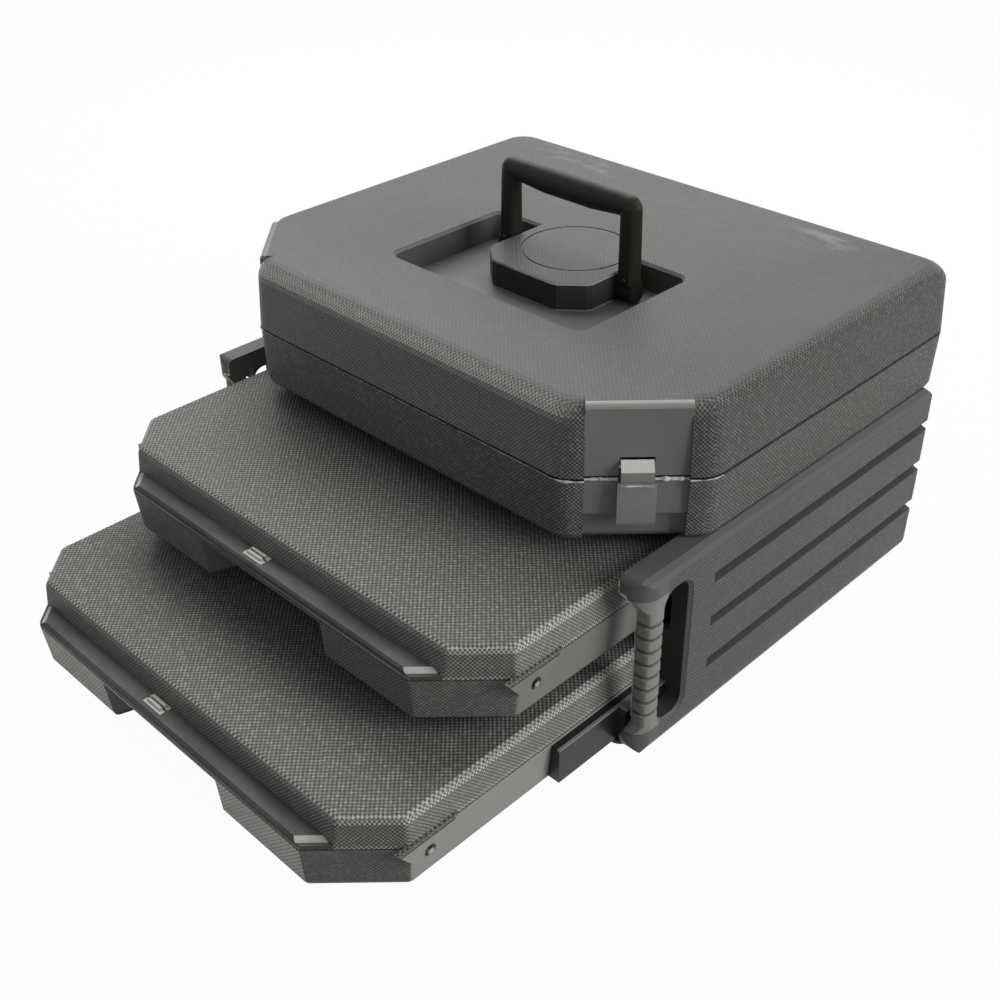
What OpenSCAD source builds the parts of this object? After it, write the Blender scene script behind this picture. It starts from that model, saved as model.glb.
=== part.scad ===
// Blow-moulded hard tool case: a hinged top case on a housing with two lidded drawer cases.
// Origin: middle of the housing's underside. +X to the right, +Y to the back, +Z up. Millimetres.

/* [Housing] */
// Overall width across the side walls
housing_w = 458; // [420:1:520]
// Depth of the housing, front of the grips to the back
housing_d = 350.6; // [330:0.2:400]
// Distance from the origin to the front of the housing
housing_front = 171.3; // [165:0.1:180]
// Thickness of each double-walled side
side_t = 22; // [20:0.5:26]
// Thickness of the back wall
back_t = 12; // [9:0.5:14]
// Thickness of the base panel
floor_t = 2.6; // [2:0.1:4]
// Rounding of the side walls along the floor
foot_r = 12; // [8:0.5:14]
// Height of the bevel that runs round the rim
rim_bevel = 6; // [4:0.5:8]
// Free height between a drawer case and what is above it
stack_gap = 15.3; // [12:0.1:20]
// Free height above the upper drawer case
top_gap = 13.5; // [12:0.1:20]
// How far the back leans in towards the floor
back_draft = 5; // [0:0.5:8]

/* [Side grooves] */
// Height of a groove across the side wall
groove_w = 9; // [6:0.5:12]
// Depth of a groove
groove_depth = 5.5; // [3:0.5:7]
// Distance from the front of the housing to a groove's blind end
groove_start = 74; // [60:1:100]

/* [Side grips] */
// Depth of the grip bar, front to back
grip_d = 23; // [20:0.5:25]
// Width of the finger slot behind the bar
slot_w = 26; // [20:0.5:32]
// Height of the finger slot
slot_h = 111; // [95:1:115]
// Depth of the grip bar's own section
bar_d = 15.5; // [13:0.5:20]
// Width of the grip bar's own section
bar_w = 14; // [12:0.5:16]
// Number of finger ribs on the bar
rib_count = 8; // [5:1:9]
// Distance from rib to rib
rib_pitch = 10.8; // [8:0.1:11]
// Depth of the notch between two ribs
rib_depth = 1.6; // [0.8:0.1:2]

/* [Drawer cases] */
// Free width between a drawer case and a side wall
drawer_gap = 7.2; // [7:0.1:12]
// Depth of a drawer case
drawer_d = 316; // [290:1:317]
// Height of the tray below the seam
tray_h = 35.1; // [32:0.1:38]
// Height of the drawer's lid above the seam
drawer_lid_h = 24; // [22:0.1:30]
// Corner chamfer at the front of a drawer case
drawer_chamfer = 47.5; // [35:0.5:55]
// Wall of the tray and of its lid
drawer_wall = 3; // [2.4:0.1:4]
// Depth of the pull ledge in front of the drawer's lid
ledge_d = 18.2; // [14:0.2:20]
// Height of the smooth strip on the pull ledge
strip_h = 6; // [5:0.1:8]
// Half width of the finger scoop under the ledge
scoop_half = 57; // [40:1:70]
// Depth of the finger scoop
scoop_d = 30; // [20:1:36]
// How far the upper drawer stands out
upper_out = 130.8; // [0:0.1:170]
// How far the lower drawer stands out
lower_out = 224.2; // [0:0.1:230]

/* [Runners] */
// Running clearance between a runner and its channel
runner_gap = 0.3; // [0.2:0.05:0.6]
// Distance from a runner's back end to the back of its drawer case
runner_back = 5; // [2:1:20]
// Length of a runner
runner_l = 139; // [110:1:140]
// Length of the runner's slim lead
runner_lead = 58; // [40:1:62]
// Height of a runner
runner_h = 29; // [18:0.5:30]
// Depth of the channel in the side wall
channel_d = 6.9; // [5:0.1:8]

/* [Top case] */
// How far the top case is set in from the outer faces of the side walls
case_in = 4; // [2:0.5:5]
// How far the top case reaches past the back of the housing
case_over = 13.4; // [5:0.1:20]
// Height of the lower shell
base_h = 47.4; // [40:0.1:54]
// Height of the lid above the seam
lid_h = 52.8; // [46:0.1:60]
// Corner chamfer at the front of the top case
case_chamfer = 69.3; // [50:0.1:80]
// Rounding of the front corners in plan
corner_r = 22; // [18:1:30]
// Rounding of the back corners in plan
back_corner_r = 19; // [8:1:30]
// Rounding of the lid's top edge
top_r = 13; // [8:0.5:18]
// Wall of the lid and of the lower shell
case_wall = 4; // [3:0.1:5]
// Gap left at the seam
seam_gap = 0.3; // [0.2:0.05:0.6]

/* [Latches] */
// Width of the flat panel in the corner chamfer
panel_w = 67; // [50:1:76]
// Depth of the panel behind the chamfer
panel_depth = 3.6; // [2:0.1:5]
// Width of a latch
latch_w = 21; // [16:0.5:26]
// How far the latch stands out of its panel
latch_out = 7; // [5:0.1:9]
// Radius of the latch's pin
latch_pin_r = 1.5; // [1.2:0.1:2]

/* [Carry handle] */
// Overall width of the handle
handle_w = 136; // [120:1:150]
// Height of the handle above its pivot
handle_h = 73; // [60:1:76]
// Width of a leg
leg_w = 16; // [12:0.5:18]
// Thickness of the handle front to back
handle_t = 14; // [11:0.5:16]
// Radius of the pivot pins
handle_pin_r = 2.5; // [2:0.1:3.5]
// Width of the recess in the lid
recess_w = 190; // [160:1:200]
// Depth of the recess front to back
recess_d = 118; // [100:1:125]
// How deep the recess is sunk
recess_h = 21.6; // [18:0.1:26]
// Distance of the recess's back edge behind the centre
recess_back = 31.6; // [25:0.1:40]
// Radius of the shallow round field behind the handle
disc_r = 42.5; // [30:1:44]

/* [Fits] */
// Radial clearance round a pin or a screw
pin_fit = 0.05; // [0.03:0.01:0.1]
// Gap between fixed pieces that lie side by side
seat_gap = 0.1; // [0.05:0.05:0.3]

/* [Hidden] */
$fn = 48;
eps = 0.01;
root2 = sqrt(2);

// heights
drawer_lift = 0.4;
lower_z = floor_t + drawer_lift;
drawer_h = tray_h + drawer_lid_h;
upper_z = lower_z + drawer_h + stack_gap;
rim_z = upper_z + drawer_h + top_gap;
seam_z = rim_z + base_h;
lid_z = seam_z + lid_h;

// housing
half_w = housing_w / 2;
inner_x = half_w - side_t;
front_y = -housing_front;
back_y = housing_d - housing_front;
back_in = back_y - back_t;
slot_z = rim_z / 2 - slot_h / 2 + 2.5;
slot_y = front_y + grip_d;
groove_pitch = 37;
groove_mid = rim_z / 2 + 7;
lug_w = 8.5;
lug_d = 11;
rebate = 5;
screw_r = 2;
screw_head_r = 3.4;
screw_head_h = 2.2;
seat_screw_in = 4;
seat_screw_front = 10.844;
seat_screw_back = 53.084;
seat_screw_bite = 8;

// top case
case_x = half_w - case_in;
case_f = -front_y;
case_b = back_y + case_over;
case_d = case_f + case_b;
case_sum = case_x + case_f - case_chamfer;
lid_draft = 2.4;
base_draft = 1.5;
base_round = 5;
panel_n = case_sum / root2 - panel_depth;
panel_t = (case_x - case_f) / root2;
panel_block = 15;
ledge_z = seam_z - 27.4;
hinge_r = 5;
hinge_pin_r = 2;
hinge_y = case_b + hinge_r + 0.6;
hinge_x = 122;
knuckle_w = 18;

// latch, in the corner's own frame: y is 0 on the panel and negative outside
pocket_w = latch_w + 1.4;
tongue_extra = 4;
pocket_top = 15;
pocket_in = 10.5;
pivot_y = 2.5;
pivot_z = 6.8;
hook_z = ledge_z - seam_z - 4.7;

// handle
recess_z = lid_z - recess_h;
handle_y = 8;
handle_z = recess_z + 8.6;
leg_in = handle_w / 2 - leg_w;
land_half = leg_in - 0.6;
land_front = -42;
hub_r = 8;
rim_w = 2.2;

// drawers
drawer_x = inner_x - drawer_gap;
runner_start = drawer_d - runner_l - runner_back;
tray_draft = 2.8;
tray_foot = 3.4;
seam_half = 0.15;
drawer_hinge_x = 105;
drawer_hinge_r = 4;
runner_x = inner_x + channel_d - runner_gap;

// ---------- shared shapes ----------

// A rectangle with its two front corners cut at 45 degrees and every side moved in by e.
function front_corners(x, y, sum, e) =
    let (s = sum - root2 * e, fy = y - e, fx = x - e)
    [[s - fy, -fy], [fx, -(s - fx)]];

// Round bars standing at the corners of that outline; their hull is a rounded slice.
module slice(x, yf, yb, sum, inset, rf, rb, z) {
    for (p = front_corners(x, yf, sum, inset + rf), side = [-1, 1])
        translate([side * p[0], p[1], z])
            cylinder(r = rf, h = eps, $fn = 32);
    for (side = [-1, 1])
        translate([side * (x - inset - rb), yb - inset - rb, z])
            cylinder(r = rb, h = eps, $fn = 32);
}

module rounded_rect(w, d, r) {
    square([w - 2 * r, d], center = true);
    square([w, d - 2 * r], center = true);
    for (sx = [-1, 1], sy = [-1, 1])
        translate([sx * (w / 2 - r), sy * (d / 2 - r)])
            circle(r = r);
}

// Extrudes a side profile drawn as [y, z] along X.
module along_x(from, to) {
    translate([from, 0, 0])
        rotate([90, 0, 90])
            linear_extrude(height = to - from)
                children();
}

// Extrudes a front profile drawn as [x, z] from y = from back to y = to.
module along_y(from, to) {
    translate([0, to, 0])
        rotate([90, 0, 0])
            linear_extrude(height = to - from)
                children();
}

module rod_x(r, from, to, y, z) {
    translate([from, y, z])
        rotate([0, 90, 0])
            cylinder(r = r, h = to - from);
}

// Pan-head screw whose head stands on z = 0 and whose shank points down.
module screw(length) {
    cylinder(r = screw_head_r, h = screw_head_h - 0.7);
    translate([0, 0, screw_head_h - 0.7])
        cylinder(r1 = screw_head_r, r2 = screw_head_r - 1.1, h = 0.7);
    translate([0, 0, -length])
        cylinder(r = screw_r, h = length + eps);
}

// ---------- housing ----------

// Section of the side wall seen from the front, for the right-hand side.
module side_section() {
    r = foot_r;
    difference() {
        union() {
            translate([inner_x, 0])
                square([side_t - r, rim_z]);
            translate([inner_x, r])
                square([side_t, rim_z - r - rim_bevel]);
            translate([half_w - r, r])
                circle(r = r);
            polygon([[inner_x, rim_z - rim_bevel - eps], [half_w, rim_z - rim_bevel - eps],
                     [half_w - 3, rim_z - 2.5], [half_w - 7, rim_z], [inner_x, rim_z]]);
        }
        translate([inner_x - 1, -1])
            square([rebate + 1, floor_t + seat_gap + 1]);
    }
}

// Outline of the housing seen from the side.
module side_outline() {
    rf = 20;
    rt = 6;
    rb = 9;
    top = front_y + rt;
    polygon([[front_y + rf, 0], [back_y - back_draft - rb, 0],
             [back_y - back_draft, rb], [back_y, rim_z - 6], [back_y - 4, rim_z],
             [top, rim_z], [front_y, rim_z - rt], [front_y, rf]]);
    translate([front_y + rf, rf])
        circle(r = rf);
    translate([top, rim_z - rt])
        circle(r = rt);
    translate([back_y - back_draft - rb, rb])
        circle(r = rb);
}

module groove(z) {
    a = groove_w / 2;
    b = a - 2.2;
    along_y(front_y + groove_start, back_y + 1)
        polygon([[half_w + 1, z - a - 0.4], [half_w - groove_depth, z - b],
                 [half_w - groove_depth, z + b], [half_w + 1, z + a + 0.4]]);
}

// Vee notches that leave finger ribs round the grip bar.
module rib_notches() {
    mid_x = half_w - bar_w / 2;
    mid_y = slot_y - bar_d / 2;
    reach = bar_w / 2;
    for (i = [0 : rib_count - 1])
        translate([mid_x, mid_y, slot_z + slot_h / 2 - 1.5 + (i - (rib_count - 1) / 2) * rib_pitch])
            rotate_extrude($fn = 64)
                polygon([[reach + 0.6 - rib_depth, 0], [reach + 3, -3.6], [reach + 3, 2.8]]);
}

module bar_plan() {
    translate([half_w - bar_w / 2, slot_y - bar_d / 2])
        union() {
            rounded_rect(bar_w, bar_d, 5);
            square([bar_w / 2, bar_d / 2 + 1]);
        }
}

// Neck that widens from the bar at height z to the full wall at height z + rise.
module bar_flare(z, rise) {
    hull() {
        translate([0, 0, z])
            linear_extrude(height = eps)
                bar_plan();
        translate([half_w - bar_w - 1, front_y - 1, z + rise])
            cube([bar_w + 2, grip_d + 2, eps]);
    }
}

// Takes the wall back to the slimmer bar in front of the slot.
module bar_neck() {
    low = slot_z - 4;
    high = slot_z + slot_h + 4;
    difference() {
        translate([inner_x - 1, front_y - 1, low])
            cube([side_t + 2, grip_d + 1 + eps, high - low]);
        translate([0, 0, low - 1])
            linear_extrude(height = high - low + 2)
                bar_plan();
        bar_flare(high - 13, 13 + eps);
        bar_flare(low + 9, -9 - eps);
    }
}

module grip_slot() {
    mid_y = slot_y + slot_w / 2;
    mid_z = slot_z + slot_h / 2;
    translate([inner_x - 1, mid_y, mid_z])
        rotate([90, 0, 90])
            linear_extrude(height = side_t + 2)
                rounded_rect(slot_w, slot_h, 10);
    hull()
        for (k = [[0, 0], [2.5, 2.5]], sy = [-1, 1], sz = [-1, 1])
            translate([half_w - 2.5 + k[0], mid_y + sy * (slot_w / 2 - 10), mid_z + sz * (slot_h / 2 - 10)])
                rotate([0, 90, 0])
                    cylinder(r = 10 + k[1], h = eps, $fn = 32);
}

// Plan of the right-hand side wall.
module side_plan() {
    r = [2.5, 15.5, 4];
    polygon([[inner_x, front_y + r[0]], [inner_x + r[0], front_y], [half_w - r[1], front_y],
             [half_w, front_y + r[1]], [half_w, back_y - r[2]], [half_w - r[2], back_y],
             [inner_x, back_y]]);
    translate([inner_x + r[0], front_y + r[0]])
        circle(r = r[0]);
    translate([half_w - r[1], front_y + r[1]])
        circle(r = r[1]);
    translate([half_w - r[2], back_y - r[2]])
        circle(r = r[2]);
}

module side_wall() {
    difference() {
        intersection() {
            along_y(front_y - 1, back_y + 1)
                side_section();
            along_x(inner_x - 1, half_w + 1)
                side_outline();
            linear_extrude(height = rim_z + 1)
                side_plan();
        }
        for (k = [-1 : 1])
            groove(groove_mid + k * groove_pitch);
        grip_slot();
        bar_neck();
        rib_notches();
        for (z0 = [lower_z, upper_z])
            translate([inner_x - 1, front_y - 1, z0 + runner_zone()[0] - runner_gap])
                cube([channel_d + 1, back_in - lug_d - front_y + 1, runner_h + 2 * runner_gap]);
        for (z = screw_heights())
            rod_y(screw_r + pin_fit, back_in - 8, back_in + 1, inner_x - lug_w / 2, z);
        for (y = case_screw_rows())
            translate([case_screw_x(), y, rim_z - 12])
                cylinder(r = screw_r + pin_fit, h = 20);
    }
    difference() {
        translate([inner_x - lug_w, back_in - lug_d, floor_t + seat_gap])
            cube([lug_w + eps, lug_d - seat_gap, rim_z - 8 - floor_t]);
        for (z = screw_heights())
            rod_y(screw_r + pin_fit, back_in - 8, back_in + 1, inner_x - lug_w / 2, z);
    }
}

module rod_y(r, from, to, x, z) {
    translate([x, to, z])
        rotate([90, 0, 0])
            cylinder(r = r, h = to - from);
}

function runner_zone() = [(tray_h - runner_h) / 2, (tray_h + runner_h) / 2];
function screw_heights() = [for (k = [-1 : 1]) groove_mid + (k - 0.5) * groove_pitch];
function case_screw_x() = inner_x + seat_screw_in;
function case_screw_rows() =
    let (front = front_y + case_chamfer + seat_screw_front, back = back_y - seat_screw_back)
    [front, (front + back) / 2, back];

module side_wall_right() {
    color([0.31, 0.31, 0.30])
        side_wall();
}

module side_wall_left() {
    color([0.31, 0.31, 0.30])
        mirror([1, 0, 0])
            side_wall();
}

module back_wall() {
    w = inner_x - seat_gap;
    color([0.31, 0.31, 0.30])
        difference() {
            intersection() {
                translate([-w, back_in, floor_t + seat_gap])
                    cube([2 * w, back_t + 1, rim_z - floor_t]);
                along_x(-half_w, half_w)
                    side_outline();
            }
            for (k = [-1 : 1])
                translate([0, back_y + 1, groove_mid + k * groove_pitch])
                    rotate([90, 0, 0])
                        linear_extrude(height = 4.5)
                            rounded_rect(2 * w - 70, groove_w, groove_w / 2 - 0.2);
            for (z = screw_heights(), s = [-1, 1]) {
                rod_y(screw_r + pin_fit, back_in - 1, back_y + 1, s * (inner_x - lug_w / 2), z);
                rod_y(screw_head_r + 0.3, back_y - 8, back_y + 1, s * (inner_x - lug_w / 2), z);
            }
        }
}

module base_panel() {
    w = inner_x + rebate - seat_gap;
    color([0.27, 0.27, 0.26])
        linear_extrude(height = floor_t)
            union() {
                translate([-w, front_y + 16])
                    square([2 * w, back_in - 4 - front_y - 16]);
                translate([-w + 10, front_y + 6])
                    square([2 * w - 20, 12]);
                translate([-inner_x, back_in - 6])
                    square([2 * inner_x, back_t]);
                for (s = [-1, 1])
                    translate([s * (w - 10), front_y + 16])
                        circle(r = 10);
            }
}

module housing_screws() {
    color([0.62, 0.62, 0.63])
        for (z = screw_heights(), s = [-1, 1])
            translate([s * (inner_x - lug_w / 2), back_y - 8, z])
                rotate([-90, 0, 0])
                    screw(back_t - 8 + 7);
}

// ---------- top case ----------

// Puts its children in the frame of the right or the left corner chamfer.
module at_corner(side) {
    mirror([side < 0 ? 1 : 0, 0, 0])
        translate([(panel_n + panel_t) / root2, (panel_t - panel_n) / root2, seam_z])
            rotate([0, 0, 45])
                children();
}

module base_outer() {
    hull()
        for (k = [[0, base_round + base_draft], [0.14 * base_round, base_round * 0.55 + base_draft],
                  [0.4 * base_round, base_round * 0.24 + base_draft], [base_round, base_draft * 0.9],
                  [base_h - seam_gap / 2, 0]])
            slice(case_x, case_f, case_b, case_sum, k[1], corner_r - k[1], back_corner_r - k[1] * 0.8,
                  rim_z + k[0]);
}

module base_inner() {
    hull()
        for (k = [[case_wall, base_draft + 3], [case_wall + 5, base_draft], [base_h + 1, 0]])
            slice(case_x, case_f, case_b, case_sum, k[1] + case_wall,
                  corner_r - case_wall - k[1], back_corner_r - case_wall - k[1] * 0.8, rim_z + k[0]);
}

// Hinge knuckles along the back; the base has the outer two of each three, the lid the middle one.
module knuckles(list, web_z) {
    for (s = [-1, 1], i = list)
        translate([s * hinge_x + (i - 2) * (knuckle_w + 0.6) - knuckle_w / 2, 0, 0]) {
            rod_x(hinge_r, 0, knuckle_w, hinge_y, seam_z);
            translate([0, case_b - 3, min(seam_z, seam_z + web_z)])
                cube([knuckle_w, hinge_y - case_b + 3, abs(web_z)]);
        }
}

module hinge_bores() {
    for (s = [-1, 1])
        rod_x(hinge_pin_r + pin_fit, s * hinge_x - 60, s * hinge_x + 60, hinge_y, seam_z);
}

// Clearance round the other half's knuckles.
module knuckle_gaps(list) {
    for (s = [-1, 1], i = list)
        translate([s * hinge_x + (i - 2) * (knuckle_w + 0.6) - knuckle_w / 2 - 0.6, 0, 0])
            rod_x(hinge_r + 0.6, 0, knuckle_w + 1.2, hinge_y, seam_z);
}

module case_base() {
    color([0.33, 0.33, 0.32])
        difference() {
            union() {
                base_outer();
                knuckles([1, 3], -9);
            }
            difference() {
                base_inner();
                for (s = [-1, 1])
                    at_corner(s)
                        translate([-panel_w / 2 - 4, -6, -base_h])
                            cube([panel_w + 8, 6 + 10, base_h + 2]);
            }
            for (s = [-1, 1])
                at_corner(s) {
                    translate([-panel_w / 2, -20, ledge_z - seam_z])
                        cube([panel_w, 20, base_h]);
                    translate([-panel_w / 2, -20 + 5, -base_h - 1])
                        cube([panel_w, 20, ledge_z - rim_z + 1 + eps]);
                }
            hinge_bores();
            knuckle_gaps([2]);
            for (s = [-1, 1], y = case_screw_rows())
                translate([s * case_screw_x(), y, rim_z - 1])
                    cylinder(r = screw_r + pin_fit, h = 20);
        }
}

module case_insert() {
    z0 = rim_z + case_wall + seat_gap;
    h = base_h - case_wall - 7;
    x = case_screw_x() - screw_head_r - 1.5;
    y = case_f - case_wall - 10;
    back = case_b - case_wall - 10;
    bay_w = (2 * x - 50) / 3;
    bay_r = 12;
    split = -0.23 * case_d;
    color([0.20, 0.20, 0.20])
        difference() {
            hull()
                for (k = [[2, 0], [0, h - eps]])
                    slice(x, y, back, x + y - case_chamfer, k[0], 14, 8, z0 + k[1]);
            for (i = [-1 : 1])
                translate([i * (bay_w + 12), (split + back) / 2, z0 + 3])
                    linear_extrude(height = h)
                        rounded_rect(bay_w, back - split - 20, bay_r);
            translate([0, (split - y) / 2 + 2, z0 + 3])
                linear_extrude(height = h)
                    rounded_rect(2 * (x - case_chamfer) - 16, y + split - 16, bay_r);
        }
}

module case_screws() {
    color([0.62, 0.62, 0.63])
        for (s = [-1, 1], y = case_screw_rows())
            translate([s * case_screw_x(), y, rim_z + case_wall + seat_gap / 2])
                screw(case_wall + seat_screw_bite);
}

module case_hinge_pins() {
    reach = 1.5 * knuckle_w + 0.6;
    color([0.60, 0.60, 0.61])
        for (s = [-1, 1])
            rod_x(hinge_pin_r, s * hinge_x - reach - 0.5, s * hinge_x + reach + 0.5, hinge_y, seam_z);
}

// ---------- lid ----------

function fillet_steps(inset, drop) =
    [for (a = [0, 18, 36, 54, 72, 90]) [-drop * (1 - sin(a)), inset + drop * (1 - cos(a))]];

module lid_outer() {
    hull() {
        slice(case_x, case_f, case_b, case_sum, 0, corner_r, back_corner_r, seam_z + seam_gap / 2);
        for (k = fillet_steps(lid_draft, top_r))
            slice(case_x, case_f, case_b, case_sum, k[1], max(8, corner_r - k[1] * 0.5),
                  max(6, back_corner_r - k[1] * 0.2), lid_z + k[0] - eps);
    }
}

module lid_inner() {
    wall = case_wall;
    hull() {
        slice(case_x, case_f, case_b, case_sum, wall, corner_r - wall, back_corner_r - wall,
              seam_z - 1);
        for (a = [0, 45, 90])
            let (e = lid_draft + (top_r - 6) * (1 - cos(a)))
                slice(case_x, case_f, case_b, case_sum, e + wall, corner_r - wall - e * 0.5,
                      back_corner_r - wall - e * 0.2, lid_z - wall - (top_r - 6) * (1 - sin(a)));
    }
}

module recess_plan(grow) {
    translate([0, recess_back - recess_d / 2])
        rounded_rect(recess_w + 2 * grow, recess_d + 2 * grow, 8 + grow);
}

// The raised land that the handle turns beside, flush with the lid's top, moved in by e.
module land_plan(e) {
    b = land_half - e;
    f = land_front + e;
    polygon([[-b, recess_back + 4], [-b, f + 19], [-b + 2, f + 15.5], [-b + 19, f + 1],
             [-b + 24, f], [b - 24, f], [b - 19, f + 1], [b - 2, f + 15.5], [b, f + 19],
             [b, recess_back + 4]]);
}

// The handle's recess with its bevelled rim, and the bevelled land left standing in it.
module recess() {
    difference() {
        union() {
            translate([0, 0, recess_z])
                linear_extrude(height = recess_h + 1)
                    recess_plan(0);
            hull()
                for (k = [0, rim_w + 1])
                    translate([0, 0, lid_z - rim_w + k])
                        linear_extrude(height = eps)
                            recess_plan(k);
        }
        hull()
            for (k = [[-recess_h - 1, 0], [-1.5, 0], [0, 1.2]])
                translate([0, 0, lid_z + k[0]])
                    linear_extrude(height = eps)
                        land_plan(k[1]);
    }
}

module case_lid() {
    floor_h = recess_h + case_wall;
    color([0.36, 0.36, 0.35])
        difference() {
            union() {
                lid_outer();
                knuckles([2], 9);
                for (s = [-1, 1])
                    at_corner(s)
                        translate([-panel_w / 2, 0, seam_gap / 2])
                            cube([panel_w, panel_block, lid_h - seam_gap / 2]);
            }
            difference() {
                lid_inner();
                translate([0, 0, lid_z - floor_h])
                    linear_extrude(height = floor_h + 1)
                        recess_plan(case_wall);
                for (s = [-1, 1])
                    at_corner(s)
                        translate([-panel_w / 2 - 4, -6, -1])
                            cube([panel_w + 8, 6 + panel_block, lid_h + 2]);
            }
            recess();
            for (s = [-1, 1])
                at_corner(s) {
                    translate([-panel_w / 2, -20, -2])
                        cube([panel_w, 20, lid_h + 4]);
                    along_x(-panel_w / 2, panel_w / 2)
                        translate([0, lid_h])
                            polygon([[-2, -3], [0, -3], [0.4, -1.5], [1.5, -0.4], [3, 0], [3, 2],
                                     [-2, 2]]);
                    translate([-pocket_w / 2, -1, -1])
                        cube([pocket_w, pocket_in + 1, pocket_top + 1]);
                    rod_x(latch_pin_r + pin_fit, -panel_w / 4, panel_w / 4, pivot_y, pivot_z);
                }
            for (s = [-1, 1])
                rod_x(handle_pin_r + pin_fit, s > 0 ? land_half - 13 : -land_half - 1,
                      s > 0 ? land_half + 1 : -land_half + 13, handle_y, handle_z);
            translate([0, 17, lid_z - 0.8])
                difference() {
                    cylinder(r = disc_r, h = 2, $fn = 96);
                    translate([0, 0, -1])
                        cylinder(r = disc_r - 1.6, h = 4, $fn = 96);
                }
            hinge_bores();
            knuckle_gaps([1, 3]);
        }
}

module lid_liner() {
    wall = case_wall + 0.35;
    z0 = seam_z + 3;
    t = 2.5;
    color([0.20, 0.20, 0.20])
        difference() {
            union() {
                hull() {
                    slice(case_x, case_f, case_b, case_sum, wall, corner_r - wall,
                          back_corner_r - wall, z0);
                    slice(case_x, case_f, case_b, case_sum, wall + 0.4, corner_r - wall,
                          back_corner_r - wall, z0 + t - eps);
                }
                for (i = [-1 : 1])
                    translate([i * 0.3 * recess_w, recess_back - recess_d / 2, z0 + t - eps])
                        linear_extrude(height = lid_h - recess_h - case_wall - t - 3 - seat_gap)
                            rounded_rect(10, recess_d - 20, 4);
            }
            for (s = [-1, 1])
                at_corner(s)
                    translate([-panel_w / 2 - 5, -20, -1])
                        cube([panel_w + 10, 20 + panel_block + 0.5, 20]);
        }
}

module handle_pins() {
    color([0.60, 0.60, 0.61])
        for (s = [-1, 1])
            rod_x(handle_pin_r, s > 0 ? land_half - 12.5 : -leg_in - leg_w + 3,
                  s > 0 ? leg_in + leg_w - 3 : -land_half + 12.5, handle_y, handle_z);
}

// ---------- latches ----------

module latch_pins() {
    color([0.60, 0.60, 0.61])
        for (s = [-1, 1])
            at_corner(s)
                rod_x(latch_pin_r, -panel_w / 4 + 0.3, panel_w / 4 - 0.3, pivot_y, pivot_z);
}

// Side profile of a latch's root block as [outward distance, height above the seam].
module latch_root() {
    p = latch_out;
    difference() {
        polygon([[-pivot_y - 4, pivot_z - 1.7], [-pivot_y - 4, pivot_z + 1.7],
                 [-pivot_y - 2.4, pivot_z + 3.7], [0.2, pivot_z + 6.4], [p - 0.5, pivot_z + 0.9],
                 [p, pivot_z], [p, 0.9], [p - 0.8, 0.2], [p - 0.8, -1.6], [2, -3.4],
                 [seam_gap, -2.6], [seam_gap, 1], [-pivot_y - 2.4, pivot_z - 3.7]]);
        translate([-pivot_y, pivot_z])
            circle(r = latch_pin_r + pin_fit);
    }
}

// Side profile of its tongue, with the nose that grips under the base's ledge.
module latch_tongue() {
    p = latch_out;
    polygon([[p - 4.6, -0.7], [p - 0.4, -0.7], [p, -1.1], [p + 0.9, hook_z + 2.5],
             [p + 0.5, hook_z + 0.6], [p - 0.6, hook_z], [seam_gap, hook_z + 0.8],
             [seam_gap, hook_z + 4.2], [p - 3.8, hook_z + 6.4], [p - 4, -6], [p - 4.6, -3]]);
}

// Extrudes a latch profile to a width, centred on its panel.
module latch_part(w) {
    translate([-w / 2, 0, 0])
        rotate([90, 0, 90])
            linear_extrude(height = w)
                mirror([1, 0, 0])
                    children();
}

module latch(side) {
    color([0.30, 0.30, 0.29])
        at_corner(side) {
            latch_part(latch_w)
                latch_root();
            latch_part(latch_w + tongue_extra)
                latch_tongue();
        }
}

module latch_left() {
    latch(-1);
}

module latch_right() {
    latch(1);
}

// ---------- carry handle ----------

module handle_leg(s) {
    x = s * (leg_in + leg_w / 2);
    ry = handle_t / 2;
    top = handle_z + handle_h;
    hull() {
        translate([x - leg_w / 2 + 1.5, handle_y, handle_z + 7])
            rotate([0, 90, 0])
                cylinder(r = ry - 1.5, h = leg_w - 3, $fn = 32);
        translate([x, handle_y, handle_z + 7])
            rotate([0, 90, 0])
                cylinder(r = ry, h = leg_w - 6, center = true, $fn = 32);
        translate([x - s * 0.8, handle_y, top - 10])
            scale([1, ry / 8.4, 1])
                sphere(r = 8.4, $fn = 32);
    }
    rod_x(hub_r - 0.4, x - leg_w / 2, x + leg_w / 2, handle_y, handle_z);
    rod_x(ry, x - leg_w / 2 + 1, x + leg_w / 2 - 1, handle_y, handle_z + 5);
}

module handle_grip() {
    top = handle_z + handle_h;
    reach = handle_w / 2 - 9;
    hull() {
        for (s = [-1, 1])
            translate([s * (reach - 0.4), handle_y, top - 8.6])
                scale([1, handle_t / 17.2, 1])
                    sphere(r = 8, $fn = 32);
        for (s = [-1, 1])
            translate([s * 22, handle_y, top - 10])
                scale([1.8, handle_t / 19, 1])
                    sphere(r = 10, $fn = 32);
    }
}

module carry_handle() {
    color([0.14, 0.13, 0.12])
        difference() {
            union() {
                handle_leg(-1);
                handle_leg(1);
                handle_grip();
            }
            for (s = [-1, 1])
                rod_x(handle_pin_r + pin_fit, s > 0 ? leg_in - 1 : -leg_in - leg_w + 2.5,
                      s > 0 ? leg_in + leg_w - 2.5 : -leg_in + 1, handle_y, handle_z);
        }
}

// ---------- drawer cases ----------

// Each drawer is drawn with its front at y = 0 and its underside at z = 0.
module place_drawer(out, z0) {
    translate([0, front_y - out, z0])
        children();
}

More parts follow.
